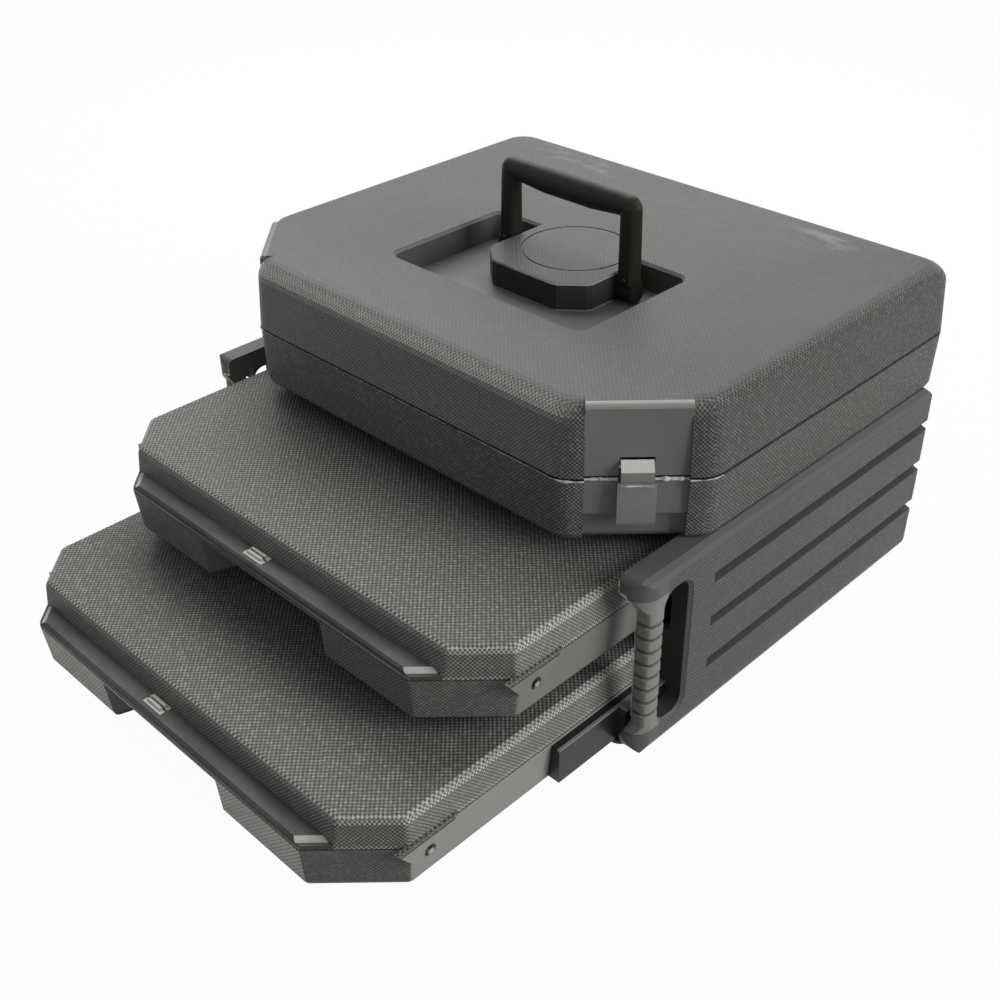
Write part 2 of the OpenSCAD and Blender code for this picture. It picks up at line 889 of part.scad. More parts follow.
module drawer_slice(inset, ledge, z, r) {
    x = drawer_x;
    d = drawer_d;
    e = inset + r;
    sum = x + d - drawer_chamfer;
    yf = ledge + e;
    for (s = [-1, 1]) {
        translate([s * (x - drawer_chamfer + ledge + (2 - root2) * e - e), yf, z])
            cylinder(r = r, h = eps, $fn = 32);
        translate([s * (x - e), drawer_chamfer + (root2 - 1) * e, z])
            cylinder(r = r, h = eps, $fn = 32);
        translate([s * (x - e), d - e, z])
            cylinder(r = r, h = eps, $fn = 32);
    }
}

// Plan of the finger scoop, wider at the front.
module scoop_plan(grow) {
    polygon([[-scoop_half - 10 - grow, -1], [scoop_half + 10 + grow, -1],
             [scoop_half + grow, scoop_d + grow], [-scoop_half - grow, scoop_d + grow]]);
}

module drawer_tray() {
    w = drawer_wall;
    roof = tray_h - 2.6;
    color([0.34, 0.34, 0.33])
        difference() {
            union() {
                hull() {
                    drawer_slice(tray_draft + tray_foot, 0, 0, 6);
                    drawer_slice(tray_draft + 0.35 * tray_foot, 0, 0.27 * tray_foot, 6);
                    drawer_slice(tray_draft, 0, tray_foot, 6);
                    drawer_slice(0, 0, tray_h - seam_half, 6);
                }
                drawer_knuckles([1, 3], -6);
            }
            difference() {
                hull() {
                    drawer_slice(tray_draft + tray_foot + w, 0, w, 4);
                    drawer_slice(tray_draft + w, 0, tray_foot + w, 4);
                    drawer_slice(w, 0, tray_h + 1, 4);
                }
                translate([0, 0, -1])
                    linear_extrude(height = tray_h + 3)
                        scoop_plan(w);
            }
            translate([0, 0, -1])
                linear_extrude(height = roof + 1)
                    scoop_plan(0);
            drawer_bores();
            drawer_knuckle_gaps([2]);
            for (s = [0, 1])
                mirror([s, 0, 0])
                    runner_screw_bores();
        }
}

module drawer_lid() {
    w = drawer_wall;
    top = drawer_h;
    color([0.35, 0.35, 0.34])
        difference() {
            union() {
                hull() {
                    drawer_slice(0.3, ledge_d - 4, tray_h + seam_half, 6);
                    drawer_slice(1.8, ledge_d - 2.6, top - 5, 6);
                    drawer_slice(3.2, ledge_d - 2.6, top - 1.8, 6);
                    drawer_slice(5.6, ledge_d - 2.6, top - eps, 6);
                }
                hull() {
                    drawer_slice(0, 0, tray_h + seam_half, 6);
                    drawer_slice(0.6, 0, tray_h + 3, 6);
                }
                pull_strip();
                snap_tabs();
                drawer_knuckles([2], 6);
            }
            hull() {
                drawer_slice(w, ledge_d, tray_h - 1, 4);
                drawer_slice(1.8 + w, ledge_d, top - 5, 4);
                drawer_slice(5.6 + w, ledge_d, top - w, 4);
            }
            drawer_bores();
            drawer_knuckle_gaps([1, 3]);
        }
}

// Smooth strip on the ledge; its ends follow the corner chamfers and are bevelled.
module pull_strip() {
    x = drawer_x - drawer_chamfer;
    z = tray_h;
    back = ledge_d + 1;
    hull()
        for (k = [[2, 0.6, 0.4], [strip_h - 1.4, 1, 4.6], [strip_h, 2.6, 6.4]])
            translate([0, 0, z + k[0] - eps])
                linear_extrude(height = eps)
                    polygon([[-x + k[2], k[1]], [x - k[2], k[1]],
                             [x - k[2] + back - k[1], back], [-x + k[2] - back + k[1], back]]);
    translate([-12, 0, 0])
        intersection() {
            along_x(-8, 8)
                polygon([[6.5, z + strip_h - 1], [7.8, z + strip_h + 1.8], [13, z + strip_h + 2.2],
                         [14.5, z + strip_h - 1]]);
            along_y(0, ledge_d)
                polygon([[-8, z], [8, z], [8, z + strip_h], [6.8, z + strip_h + 3],
                         [-6.8, z + strip_h + 3], [-8, z + strip_h]]);
        }
}

// Snap tabs that overlap the tray on both sides, each with a round boss.
module snap_tabs() {
    for (s = [-1, 1]) {
        translate([s > 0 ? drawer_x + 0.1 : -drawer_x - 1.9, 0, tray_h])
            along_x(0, 1.8)
                polygon([[36, 3], [49, -14], [68, -14], [86, 3]]);
        translate([s > 0 ? drawer_x - 1.5 : -drawer_x - 0.3, 0, tray_h])
            along_x(0, 1.8)
                polygon([[36, 0.2], [36, 3], [86, 3], [86, 0.2]]);
        rod_x(2.8, s > 0 ? drawer_x + 1 : -drawer_x - 3, s > 0 ? drawer_x + 3 : -drawer_x - 1,
              61.5, tray_h - 10.8);
    }
}

module drawer_knuckles(list, web_z) {
    for (s = [-1, 1], i = list)
        translate([s * drawer_hinge_x + (i - 2) * 16.5 - 8, 0, 0]) {
            rod_x(drawer_hinge_r, 0, 16, drawer_d + 4.4, tray_h);
            translate([0, drawer_d - 3, min(tray_h, tray_h + web_z)])
                cube([16, 7.4, abs(web_z)]);
        }
}

module drawer_bores() {
    for (s = [-1, 1])
        rod_x(1.6 + pin_fit, s * drawer_hinge_x - 50, s * drawer_hinge_x + 50, drawer_d + 4.4, tray_h);
}

module drawer_knuckle_gaps(list) {
    for (s = [-1, 1], i = list)
        translate([s * drawer_hinge_x + (i - 2) * 16.5 - 8.4, 0, 0])
            rod_x(drawer_hinge_r + 0.4, 0, 16.8, drawer_d + 4.4, tray_h);
}

module drawer_hinge_pins() {
    color([0.60, 0.60, 0.61])
        for (s = [-1, 1])
            rod_x(1.6, s * drawer_hinge_x - 24.5, s * drawer_hinge_x + 24.5, drawer_d + 4.4, tray_h);
}

// Slide rail on a tray's side; behind its lead it reaches into the side wall's channel.
module drawer_runner(s) {
    z = runner_zone();
    back = runner_start + runner_l;
    lead = runner_start + runner_lead;
    color([0.09, 0.09, 0.09])
        mirror([s < 0 ? 1 : 0, 0, 0])
            difference() {
                union() {
                    along_x(drawer_x - tray_draft, inner_x - runner_gap)
                        polygon([[runner_start, z[0]], [back, z[0]], [back, z[1]],
                                 [runner_start, z[1]]]);
                    along_x(drawer_x - tray_draft, runner_x)
                        polygon([[lead + 3, z[0]], [back, z[0]], [back, z[1]], [lead + 3, z[1]],
                                 [lead, z[1] - 3], [lead, z[0] + 3]]);
                }
                along_y(runner_start - 1, drawer_d)
                    translate([seat_gap, 0])
                        polygon([[drawer_x - 10, 0], [tray_side(0), 0], [tray_side(tray_h), tray_h],
                                 [drawer_x - 10, tray_h]]);
                runner_screw_bores();
                for (y = runner_screw_rows())
                    rod_x(screw_head_r + 0.3, runner_x - 3, runner_x + 1, y, tray_h / 2);
            }
}

function runner_screw_rows() = [runner_start + runner_lead + 10, runner_start + runner_l - 14];

// Half width of the drafted tray at height z.
function tray_side(z) = drawer_x - tray_draft * (tray_h - seam_half - z) / (tray_h - seam_half - tray_foot);

module runner_screw_bores() {
    for (y = runner_screw_rows())
        rod_x(screw_r + pin_fit, drawer_x - 12, runner_x + 1, y, tray_h / 2);
}

module drawer_runner_screws() {
    color([0.62, 0.62, 0.63])
        for (s = [-1, 1], y = runner_screw_rows())
            mirror([s < 0 ? 1 : 0, 0, 0])
                translate([runner_x - 3, y, tray_h / 2])
                    rotate([0, 90, 0])
                        screw(runner_x - 3 - tray_side(tray_h / 2) + drawer_wall + 1.5);
}

module upper_tray() { place_drawer(upper_out, upper_z) drawer_tray(); }
module upper_lid() { place_drawer(upper_out, upper_z) drawer_lid(); }
module upper_hinge_pins() { place_drawer(upper_out, upper_z) drawer_hinge_pins(); }
module upper_runner_left() { place_drawer(upper_out, upper_z) drawer_runner(-1); }
module upper_runner_right() { place_drawer(upper_out, upper_z) drawer_runner(1); }
module upper_runner_screws() { place_drawer(upper_out, upper_z) drawer_runner_screws(); }
module lower_tray() { place_drawer(lower_out, lower_z) drawer_tray(); }
module lower_lid() { place_drawer(lower_out, lower_z) drawer_lid(); }
module lower_hinge_pins() { place_drawer(lower_out, lower_z) drawer_hinge_pins(); }
module lower_runner_left() { place_drawer(lower_out, lower_z) drawer_runner(-1); }
module lower_runner_right() { place_drawer(lower_out, lower_z) drawer_runner(1); }
module lower_runner_screws() { place_drawer(lower_out, lower_z) drawer_runner_screws(); }

side_wall_left();
side_wall_right();
back_wall();
base_panel();
housing_screws();
case_base();
case_insert();
case_screws();
case_hinge_pins();
case_lid();
lid_liner();
handle_pins();
latch_pins();
latch_left();
latch_right();
carry_handle();
upper_tray();
upper_lid();
upper_hinge_pins();
upper_runner_left();
upper_runner_right();
upper_runner_screws();
lower_tray();
lower_lid();
lower_hinge_pins();
lower_runner_left();
lower_runner_right();
lower_runner_screws();
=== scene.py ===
"""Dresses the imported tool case: finishes, screws, handle studs, moulding flash and the studio."""

import math

import bpy
from bpy.props import FloatProperty, FloatVectorProperty, IntProperty, PointerProperty
from bpy.types import Operator, Panel, PropertyGroup
from mathutils import Matrix, Vector


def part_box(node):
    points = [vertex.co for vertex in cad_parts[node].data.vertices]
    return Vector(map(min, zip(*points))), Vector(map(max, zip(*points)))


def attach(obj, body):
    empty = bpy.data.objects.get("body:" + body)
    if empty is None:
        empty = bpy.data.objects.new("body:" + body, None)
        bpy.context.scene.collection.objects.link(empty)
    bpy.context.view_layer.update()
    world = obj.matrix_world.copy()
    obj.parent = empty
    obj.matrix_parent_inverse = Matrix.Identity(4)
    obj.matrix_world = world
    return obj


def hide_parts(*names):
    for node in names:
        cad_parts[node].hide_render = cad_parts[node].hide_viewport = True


bl_info = {
    "name": "Hard tool case",
    "version": (1, 0, 0),
    "blender": (4, 5, 0),
    "location": "3D View > Sidebar > Tool case",
    "description": "Finishes and small parts of a hard tool case with two drawer cases",
    "category": "Object",
}

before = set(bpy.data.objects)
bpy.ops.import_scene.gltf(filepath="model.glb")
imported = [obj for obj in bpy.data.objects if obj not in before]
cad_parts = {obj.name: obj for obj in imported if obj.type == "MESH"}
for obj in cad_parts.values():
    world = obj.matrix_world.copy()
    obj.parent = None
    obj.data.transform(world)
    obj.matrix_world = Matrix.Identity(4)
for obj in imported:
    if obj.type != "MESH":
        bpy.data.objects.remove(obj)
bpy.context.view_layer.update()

ROOT2 = math.sqrt(2)

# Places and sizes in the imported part's frame, in metres.
# Top case: parting line, front face, half width, corner chamfers and the foot of its wall
SEAM_Z = 0.1974
FRONT_Y = -0.1713
CASE_X = 0.225
CASE_CHAMFER = 0.0693
CORNER_R = 0.022
CASE_FOOT = (0.1500, 0.1535)
# Latch panels: outward place, middle along the chamfer, half width, and the band that masks them
PANEL_N = 0.22762
PANEL_T = 0.03797
PANEL_HALF = 0.0335
PANEL_BAND = (0.2225, 0.2294)
PANEL_REACH = 0.0338
# Handle recess: half width, front and back, floor and rim; the land that stands in it
RECESS_HALF = 0.0974
RECESS_Y = (-0.0888, 0.0341)
RECESS_Z = 0.2286
RECESS_TOP = 0.24985
LAND_HALF = 0.0530
LAND_FRONT = -0.0440
LAND_BEVEL = (0.2487, 0.2501)
# Housing: back face, outer side faces, grip bars with their ribs
BACK_Y = 0.1793
SIDE_FACE_X = 0.2286
GRIP_Y = -0.1475
RIB_MID = 0.0760
RIB_PITCH = 0.0108
# Drawer cases: tray and rail height, pull strip, snap boss behind the front and below the seam
TRAY_H = 0.0351
TRAY_FACE_X = 0.1985
RAIL_H = 0.0290
STRIP_DEPTH = 0.0152
STRIP_HALF = 0.1680
BOSS_BACK = 0.0615
BOSS_DROP = 0.0108
# Screws and studs: rows along each axis, and how far the back ones are sunk
BACK_SCREW_X = 0.20275
BACK_SCREW_Z = (0.0265, 0.0635, 0.1005)
BACK_SCREW_SUNK = 0.008
SEAT_SCREW_X = 0.2110
SEAT_SCREW_Y = (-0.09116, 0.01753, 0.12622)
SEAT_SCREW_Z = 0.15405
RAIL_SCREW_X = 0.2106
RAIL_SCREW_Y = (0.240, 0.297)
STUD_X = 0.0605
STUD_Z = 0.2470
# Camera: turn, dip and roll in radians, and its place
CAMERA_TURNS = (0.7854007, 0.5916587, -0.0130962)
CAMERA_PLACE = (0.621538, -0.690064, 0.651682)
# Per drawer case: front, underside, how much lighter its tray sides are painted, how strong the painted
# highlight on its tray front is
UPPER = {"front": -0.3021, "foot": 0.0774, "side": 0.35, "front_highlight": 0.0}
LOWER = {"front": -0.3955, "foot": 0.0030, "side": 1.1, "front_highlight": 1.0}


class CaseGrain(PropertyGroup):
    """The moulded lozenge grain of the polyethylene."""

    pitch: FloatProperty(
        name="Pitch", description="Distance between lozenges along the case",
        default=0.00382, min=0.001, unit="LENGTH")
    depth: FloatProperty(
        name="Depth", description="Height of a lozenge above its groove",
        default=0.00035, min=0.0, unit="LENGTH")


class CaseColours(PropertyGroup):
    """The colours of the case's materials."""

    case: FloatVectorProperty(
        name="Top case", description="Charcoal polyethylene of the top case",
        default=(0.098, 0.100, 0.094), size=3, subtype="COLOR")
    housing: FloatVectorProperty(
        name="Housing", description="Charcoal polyethylene of the housing",
        default=(0.140, 0.142, 0.134), size=3, subtype="COLOR")
    drawer: FloatVectorProperty(
        name="Drawers", description="Charcoal polyethylene of the drawer cases",
        default=(0.172, 0.175, 0.163), size=3, subtype="COLOR")
    latch: FloatVectorProperty(
        name="Latches", description="Smooth polyethylene of the latches",
        default=(0.165, 0.168, 0.158), size=3, subtype="COLOR")
    insert: FloatVectorProperty(
        name="Insert", description="Formed tray inside the top case",
        default=(0.045, 0.045, 0.045), size=3, subtype="COLOR")
    handle: FloatVectorProperty(
        name="Handle", description="Near-black moulding of the carry handle",
        default=(0.017, 0.015, 0.012), size=3, subtype="COLOR")
    runner: FloatVectorProperty(
        name="Runner", description="Near-black moulding of the slide rails",
        default=(0.020, 0.020, 0.019), size=3, subtype="COLOR")
    steel: FloatVectorProperty(
        name="Steel", description="Zinc plate of the screws and pins",
        default=(0.55, 0.55, 0.56), size=3, subtype="COLOR")
    flash: FloatVectorProperty(
        name="Flash", description="Pale stretched plastic along the parting lines",
        default=(0.78, 0.78, 0.74), size=3, subtype="COLOR")


class CaseFittings(PropertyGroup):
    """Sizes of the screws, studs and flash lines."""

    head_radius: FloatProperty(
        name="Screw head radius", description="Radius of a screw's head",
        default=0.0034, min=0.002, unit="LENGTH")
    head_height: FloatProperty(
        name="Screw head height", description="Height of a screw's head",
        default=0.0022, min=0.001, unit="LENGTH")
    shank_radius: FloatProperty(
        name="Shank radius", description="Radius of a screw's shank",
        default=0.0020, min=0.001, unit="LENGTH")
    stud_radius: FloatProperty(
        name="Stud radius", description="Radius of a moulded stud on the handle",
        default=0.0019, min=0.001, unit="LENGTH")
    flash_radius: FloatProperty(
        name="Flash thickness", description="Half the greatest thickness of a flash line",
        default=0.0009, min=0.0001, unit="LENGTH")
    flash_step: FloatProperty(
        name="Flash step", description="Distance between points of a flash line",
        default=0.0014, min=0.0003, unit="LENGTH")
    seed: IntProperty(
        name="Seed", description="Seed of the flash lines' raggedness", default=4)


class CaseStudio(PropertyGroup):
    """The camera, the lamps and the floor."""

    lens: FloatProperty(
        name="Lens", description="Focal length in millimetres", default=47.59, min=10.0)
    key_power: FloatProperty(
        name="Overhead lamp", description="Power of the overhead soft box in watts", default=40.0)
    side_power: FloatProperty(
        name="Side lamp", description="Power of the soft box on the right in watts", default=26.0)
    sky: FloatProperty(
        name="Room light", description="Strength of the even light of the room", default=0.20)


# ---------- node trees ----------


class Wire:
    """An output of a finish's nodes. The usual signs add Math nodes between such outputs and numbers."""

    def __init__(self, finish, socket):
        self.finish = finish
        self.socket = socket

    def _math(self, operation, first, second=None):
        return self.finish.node("ShaderNodeMath", {"operation": operation}, {0: first, 1: second})

    def __add__(self, other):
        return self._math("ADD", self, other)

    __radd__ = __add__

    def __sub__(self, other):
        return self._math("SUBTRACT", self, other)

    def __rsub__(self, other):
        return self._math("SUBTRACT", other, self)

    def __mul__(self, other):
        return self._math("MULTIPLY", self, other)

    __rmul__ = __mul__

    def __gt__(self, other):
        return self._math("GREATER_THAN", self, other)

    def __lt__(self, other):
        return self._math("LESS_THAN", self, other)

    def __abs__(self):
        return self._math("ABSOLUTE", self)

    def least(self, other):
        return self._math("MINIMUM", self, other)

    def most(self, other):
        return self._math("MAXIMUM", self, other)

    def cosine(self):
        return self._math("COSINE", self)

    def root(self):
        return self._math("SQRT", self)

    def between(self, low, high):
        """1 where the value lies between the two numbers, else 0."""
        return (self > low) * (self < high)

    def fade(self, low, high):
        """Runs smoothly from 0 at low to 1 at high."""
        return self.finish.node(
            "ShaderNodeMapRange", {"interpolation_type": "SMOOTHSTEP"},
            {0: self, 1: low, 2: high, 3: 0.0, 4: 1.0})


class Finish:
    """A material whose nodes are built from expressions."""

    def __init__(self, name):
        self.material = bpy.data.materials.new(name)
        self.material.use_nodes = True
        self.tree = self.material.node_tree
        self.tree.nodes.clear()
        self.place = self.node("ShaderNodeTexCoord", out="Object")
        self.facing = self.node("ShaderNodeTexCoord", out="Normal")

    def node(self, kind, settings=None, sockets=None, out=0):
        """Adds one node: its settings first, then the values or links of its sockets."""
        made = self.tree.nodes.new(kind)
        for name, value in (settings or {}).items():
            setattr(made, name, value)
        for key, value in (sockets or {}).items():
            if isinstance(value, Wire):
                self.tree.links.new(value.socket, made.inputs[key])
            elif value is not None:
                made.inputs[key].default_value = value
        return Wire(self, made.outputs[out])

    def split(self, vector):
        """The three parts of a vector."""
        parts = self.tree.nodes.new("ShaderNodeSeparateXYZ")
        self.tree.links.new(vector.socket, parts.inputs[0])
        return [Wire(self, parts.outputs[k]) for k in range(3)]

    def noise(self, scale, detail=2.0, roughness=0.5, stretch=None):
        """Noise from 0 to 1 in the piece's own coordinates; stretch scales them along x, y and z first."""
        where = self.place
        if stretch:
            where = self.node("ShaderNodeMapping", None, {"Vector": where, "Scale": stretch})
        return self.node("ShaderNodeTexNoise", None,
                         {"Vector": where, "Scale": scale, "Detail": detail, "Roughness": roughness})

    def mix(self, factor, first, second):
        """A colour between two colours."""
        return self.node("ShaderNodeMix", {"data_type": "RGBA"},
                         {0: factor, 6: first, 7: second}, out=2)

    def shade(self, colour, amount):
        """A colour made lighter or darker by an amount around 1."""
        return self.node("ShaderNodeVectorMath", {"operation": "SCALE"}, {0: colour, 3: amount})

    def close(self, colour, roughness, height=None, depth=0.0, **uniform):
        """Ends the finish in a Principled shader; uniform holds sockets with one value all over."""
        sockets = {"Base Color": colour, "Roughness": roughness}
        for name, value in uniform.items():
            sockets[name.replace("_", " ")] = value
        if height is not None:
            sockets["Normal"] = self.node(
                "ShaderNodeBump", None, {"Strength": 1.0, "Distance": depth, "Height": height})
        shader = self.node("ShaderNodeBsdfPrincipled", None, sockets)
        end = self.tree.nodes.new("ShaderNodeOutputMaterial")
        self.tree.links.new(shader.socket, end.inputs["Surface"])
        return self.material


def rgba(colour):
    return (colour[0], colour[1], colour[2], 1.0)


def lozenges(finish, pitch):
    """Height from 0 to 1 of the grain, flat on tops and wrapped round walls and corner chamfers."""
    x, y, z = finish.split(finish.place)
    nx, ny, nz = finish.split(finish.facing)
    top = abs(nz) > 0.72
    side = abs(nx) > (abs(ny) * 2.41)
    front = abs(ny) > (abs(nx) * 2.41)
    even = (nx * ny) > 0.0
    slant = (x + y - y * even * 2.0) * (1 / ROOT2)
    along = side * y + front * x + (1.0 - side) * (1.0 - front) * slant
    turn = 2 * math.pi / pitch
    wall = (1.0 - top) * 1.3
    sway = finish.noise(110.0, 1.0) * 1.6
    u = (top * x + wall * along) * turn + sway
    v = (top * y + wall * z) * turn - sway
    return u.cosine() * v.cosine() * 0.5 + 0.5


def moulded(name, colour, grain, cover, contrast, glint=0.0, rim_highlight=0.30, shy=0.0, tones=None, spots=None):
    """Grained polyethylene. cover gives how much grain shows, tones a further tone of painted light and
    shade, spots the pale places of wear and painted highlights.

    Rounded edges get a painted highlight scaled by rim_highlight and their lozenges a painted glint scaled
    by glint, less so towards +X where shy is above 0.
    """
    finish = Finish(name)
    height = lozenges(finish, grain.pitch).fade(0.16, 0.84)
    shown = cover(finish)
    nx, _, nz = finish.split(finish.facing)
    # rim masks the painted highlight on rounded edges, weaker on faces turned towards +X
    rim = (nz * (1.0 - nz) * 4.0).most(0.0) * (1.0 - nx * shy).most(0.0).least(1.0) * shown
    clouds = finish.noise(9.0, 3.0) - 0.5
    speckle = finish.noise(700.0, 2.0, 0.6) - 0.5
    sparkle = finish.noise(330.0, 1.0).fade(0.46, 0.66) * height * shown
    level = abs(nz).fade(0.5, 0.9) * 0.35 + 0.65
    # The rim terms add the painted highlight on rounded edges and the painted glint on their lozenges
    tone = 1.0 + clouds * 0.18 + speckle * 0.14 + rim * rim_highlight + (height - 0.5) * shown * contrast * level
    tone = tone + sparkle * contrast * level * 0.9 + rim * height * glint
    if tones is not None:
        tone = tone * tones(finish)
    colour_out = finish.shade(tuple(colour), tone)
    if spots is not None:
        colour_out = finish.mix(spots(finish), colour_out, (0.80, 0.79, 0.75, 1.0))
    rough = finish.noise(60.0, 3.0) * 0.10 + 0.38 + (height - 0.5) * shown * 0.12
    relief = height * shown + speckle * 0.16
    return finish.close(colour_out, rough, relief, grain.depth, Specular_IOR_Level=0.09)


def latch_panel(finish):
    """1 on the flat panels in the top case's corner chamfers."""
    x, y, _ = finish.split(finish.place)
    outward = (abs(x) - y) * (1 / ROOT2)
    along = (abs(x) + y) * (1 / ROOT2)
    return outward.between(*PANEL_BAND) * along.between(PANEL_T - PANEL_REACH, PANEL_T + PANEL_REACH)


def handle_recess(finish):
    """1 inside the handle's recess, with the walls of the land that stands in it."""
    x, y, z = finish.split(finish.place)
    return (abs(x) < RECESS_HALF) * y.between(*RECESS_Y) * (z < RECESS_TOP)


def case_cover(finish):
    """Grain of the top case: faint on the top, none on the latch panels, in the recess and inside."""
    nz = finish.split(finish.facing)[2]
    wall = 1.0 - (nz * nz * nz * nz).least(1.0)
    strength = 0.18 + wall * 0.82
    return strength * (1.0 - latch_panel(finish)) * (1.0 - handle_recess(finish))


def case_light_and_shade(finish):
    """Painted shade in the seam's gap, at the foot of the wall and on the land's walls; painted light on
    upright faces, on the base and across the lid; smooth panels and recess floor a little lighter.
    """
    x, y, z = finish.split(finish.place)
    nz = finish.split(finish.facing)[2]
    upright = abs(nz) < 0.5
    # Painted shadow in the gap of the parting line.
    seam = (abs(z - SEAM_Z) < 0.0013) * upright
    recess = handle_recess(finish)
    # The land's walls get painted shade.
    land = recess * upright * (abs(x) < LAND_HALF) * (y > LAND_FRONT)
    base = z < SEAM_Z
    # Painted light: upright faces and the base lighter; the panels and the recess floor lighter too.
    lighter = 1.0 + upright * 0.08 + latch_panel(finish) * 1.05
    lighter = lighter + recess * (1.0 - upright) * 0.60 + base * 0.18
    # Painted light: lighter towards the lid's front, darker towards +X.
    across = 1.0 + (1.0 - y.fade(-0.170, -0.070)) * 0.22 - x.fade(0.040, 0.220) * 0.12
    # Painted shade along the foot of the top case's wall.
    foot = 1.0 - z.fade(*CASE_FOOT)
    return lighter * across * (1.0 - land * 0.60) * (1.0 - seam * 0.95) * (1.0 - foot * 0.6)


def case_scuffs_and_highlights(finish):
    """Rubbed places near the lid's back edge; painted highlights on the near panel's top edge and along the
    land's rim and foot.
    """
    x, y, z = finish.split(finish.place)
    nz = finish.split(finish.facing)[2]
    back = y.fade(0.130, 0.158) * (1.0 - y.fade(0.172, 0.186)) * (z > 0.245)
    first = x.fade(-0.20, -0.15) * (1.0 - x.fade(-0.11, -0.06))
    second = x.fade(0.07, 0.115) * (1.0 - x.fade(0.13, 0.175))
    wear_and_highlight_breakup = finish.noise(26.0, 4.0, 0.62, stretch=(0.7, 2.4, 1.0)).fade(0.46, 0.68)
    # Painted highlight on the top edge of the +X latch panel.
    edge = latch_panel(finish) * (z > 0.2470) * (x > 0.0)
    land = (abs(x) < LAND_HALF + 0.0015) * y.between(LAND_FRONT - 0.0010, 0.0)
    dashes = ((x + y) * (2 * math.pi / 0.0022)).cosine() * 0.4 + 0.6
    # Painted highlight in dashes on the land's rim, and a painted highlight line along its foot.
    rim = land * z.between(*LAND_BEVEL) * (x > -0.0100) * dashes * 0.30
    line = land * z.between(RECESS_Z + 0.0001, RECESS_Z + 0.0012) * (abs(nz) < 0.5) * 0.40
    return (first + second).least(1.0) * back * wear_and_highlight_breakup * 0.14 + edge * 0.22 + rim + line


def housing_cover(finish):
    """Grain of the housing: on the outer side faces and the back, none on grips, rim, foot and grooves."""
    x, y, z = finish.split(finish.place)
    nx, ny, _ = finish.split(finish.facing)
    side = (abs(x) > SIDE_FACE_X) * (abs(nx) > 0.6)
    behind = (y > BACK_Y - 0.0009) * (ny > 0.6)
    level = z.fade(0.010, 0.020) * (1.0 - z.fade(0.1400, 0.1450))
    return (side * y.fade(-0.150, -0.143) + behind).least(1.0) * level


def housing_light_and_shade(finish):
    """Painted light on the grip bars, with painted shade between their ribs; side faces darker; painted
    shade in the grooves and slots.
    """
    x, y, z = finish.split(finish.place)
    nx = finish.split(finish.facing)[0]
    bar = (y < GRIP_Y) * z.between(0.0220, 0.1350)
    notch = ((z - RIB_MID - RIB_PITCH / 2) * (2 * math.pi / RIB_PITCH)).cosine().fade(0.45, 0.95)
    ribs = bar * z.between(0.0330, 0.1195) * notch
    side = (abs(x) > SIDE_FACE_X) * (abs(nx) > 0.6) * (y > GRIP_Y)
    groove = abs(x).between(0.2200, SIDE_FACE_X) * y.between(-0.0980, BACK_Y - 0.002)
    groove = groove * z.between(0.035, 0.125)
    slot = (abs(x) < 0.2262) * y.between(-0.1480, -0.1215) * z.between(0.0215, 0.1335)
    # Painted light on the bars; painted shade between the ribs, in the slots and in the grooves; side faces
    # darker.
    tone = (1.0 + bar * 1.0) * (1.0 - ribs * 0.55) * (1.0 - slot * 0.55)
    return tone * (1.0 - side * 0.22) * (1.0 - groove * 0.45)


def on_strip(finish, case):
    """1 on the smooth pull strip of a drawer case."""
    x, y, z = finish.split(finish.place)
    above = z > case["foot"] + TRAY_H + 0.0002
    return (y < case["front"] + STRIP_DEPTH) * above * (abs(x) < STRIP_HALF)


def on_tray_side(finish, case):
    """1 on the smooth sides of a drawer case's tray."""
    z = finish.split(finish.place)[2]
    nx = finish.split(finish.facing)[0]
    return (abs(nx) > 0.93) * (z < case["foot"] + TRAY_H)


def from_boss(finish, case):
    """Distance from the round boss of a snap tab, seen from the side; far away off the tray's sides."""
    x, y, z = finish.split(finish.place)
    ahead = y - case["front"] - BOSS_BACK
    above = z - case["foot"] - TRAY_H + BOSS_DROP
    away = (ahead * ahead + above * above).root()
    return away + (abs(x) < TRAY_FACE_X)


def drawer_cover(case):
    """Grain of one drawer case: strong on its lid, none on the pull strip and the tray's sides."""

    def cover(finish):
        return (1.0 - on_strip(finish, case)) * (1.0 - on_tray_side(finish, case))

    return cover


def drawer_light_and_shade(case):
    """Painted shade in the seam, on the lid front, round the boss and at the foot, a dark strip, and painted
    light on the tray sides of one drawer case.
    """

    def tones(finish):
        z = finish.split(finish.place)[2]
        _, ny, nz = finish.split(finish.facing)
        # Painted shadow in the gap between lid and tray.
        seam = (abs(z - case["foot"] - TRAY_H) < 0.0006) * (abs(nz) < 0.5)
        # Painted shade on the lid's front-facing faces.
        shade = (ny * -1.0).fade(0.50, 0.85) * (z > case["foot"] + TRAY_H + 0.0010)
        streaks = finish.noise(42.0, 3.0, 0.6, stretch=(0.3, 1.0, 1.0)).fade(0.35, 0.70)
        strip = on_strip(finish, case) * (0.50 - streaks * 0.34)
        # Painted shade round the boss.
        ring = from_boss(finish, case).between(0.0026, 0.0046)
        # Painted light on the smooth tray sides.
        smooth = 1.0 + on_tray_side(finish, case) * case["side"]
        # Painted contact shadow along the tray's foot.
        foot = 1.0 - z.fade(case["foot"], case["foot"] + 0.0036)
        dark = (1.0 - strip) * (1.0 - seam * 0.7) * (1.0 - shade * 0.30)
        return smooth * dark * (1.0 - ring * 0.85) * (1.0 - foot * 0.7)

    return tones


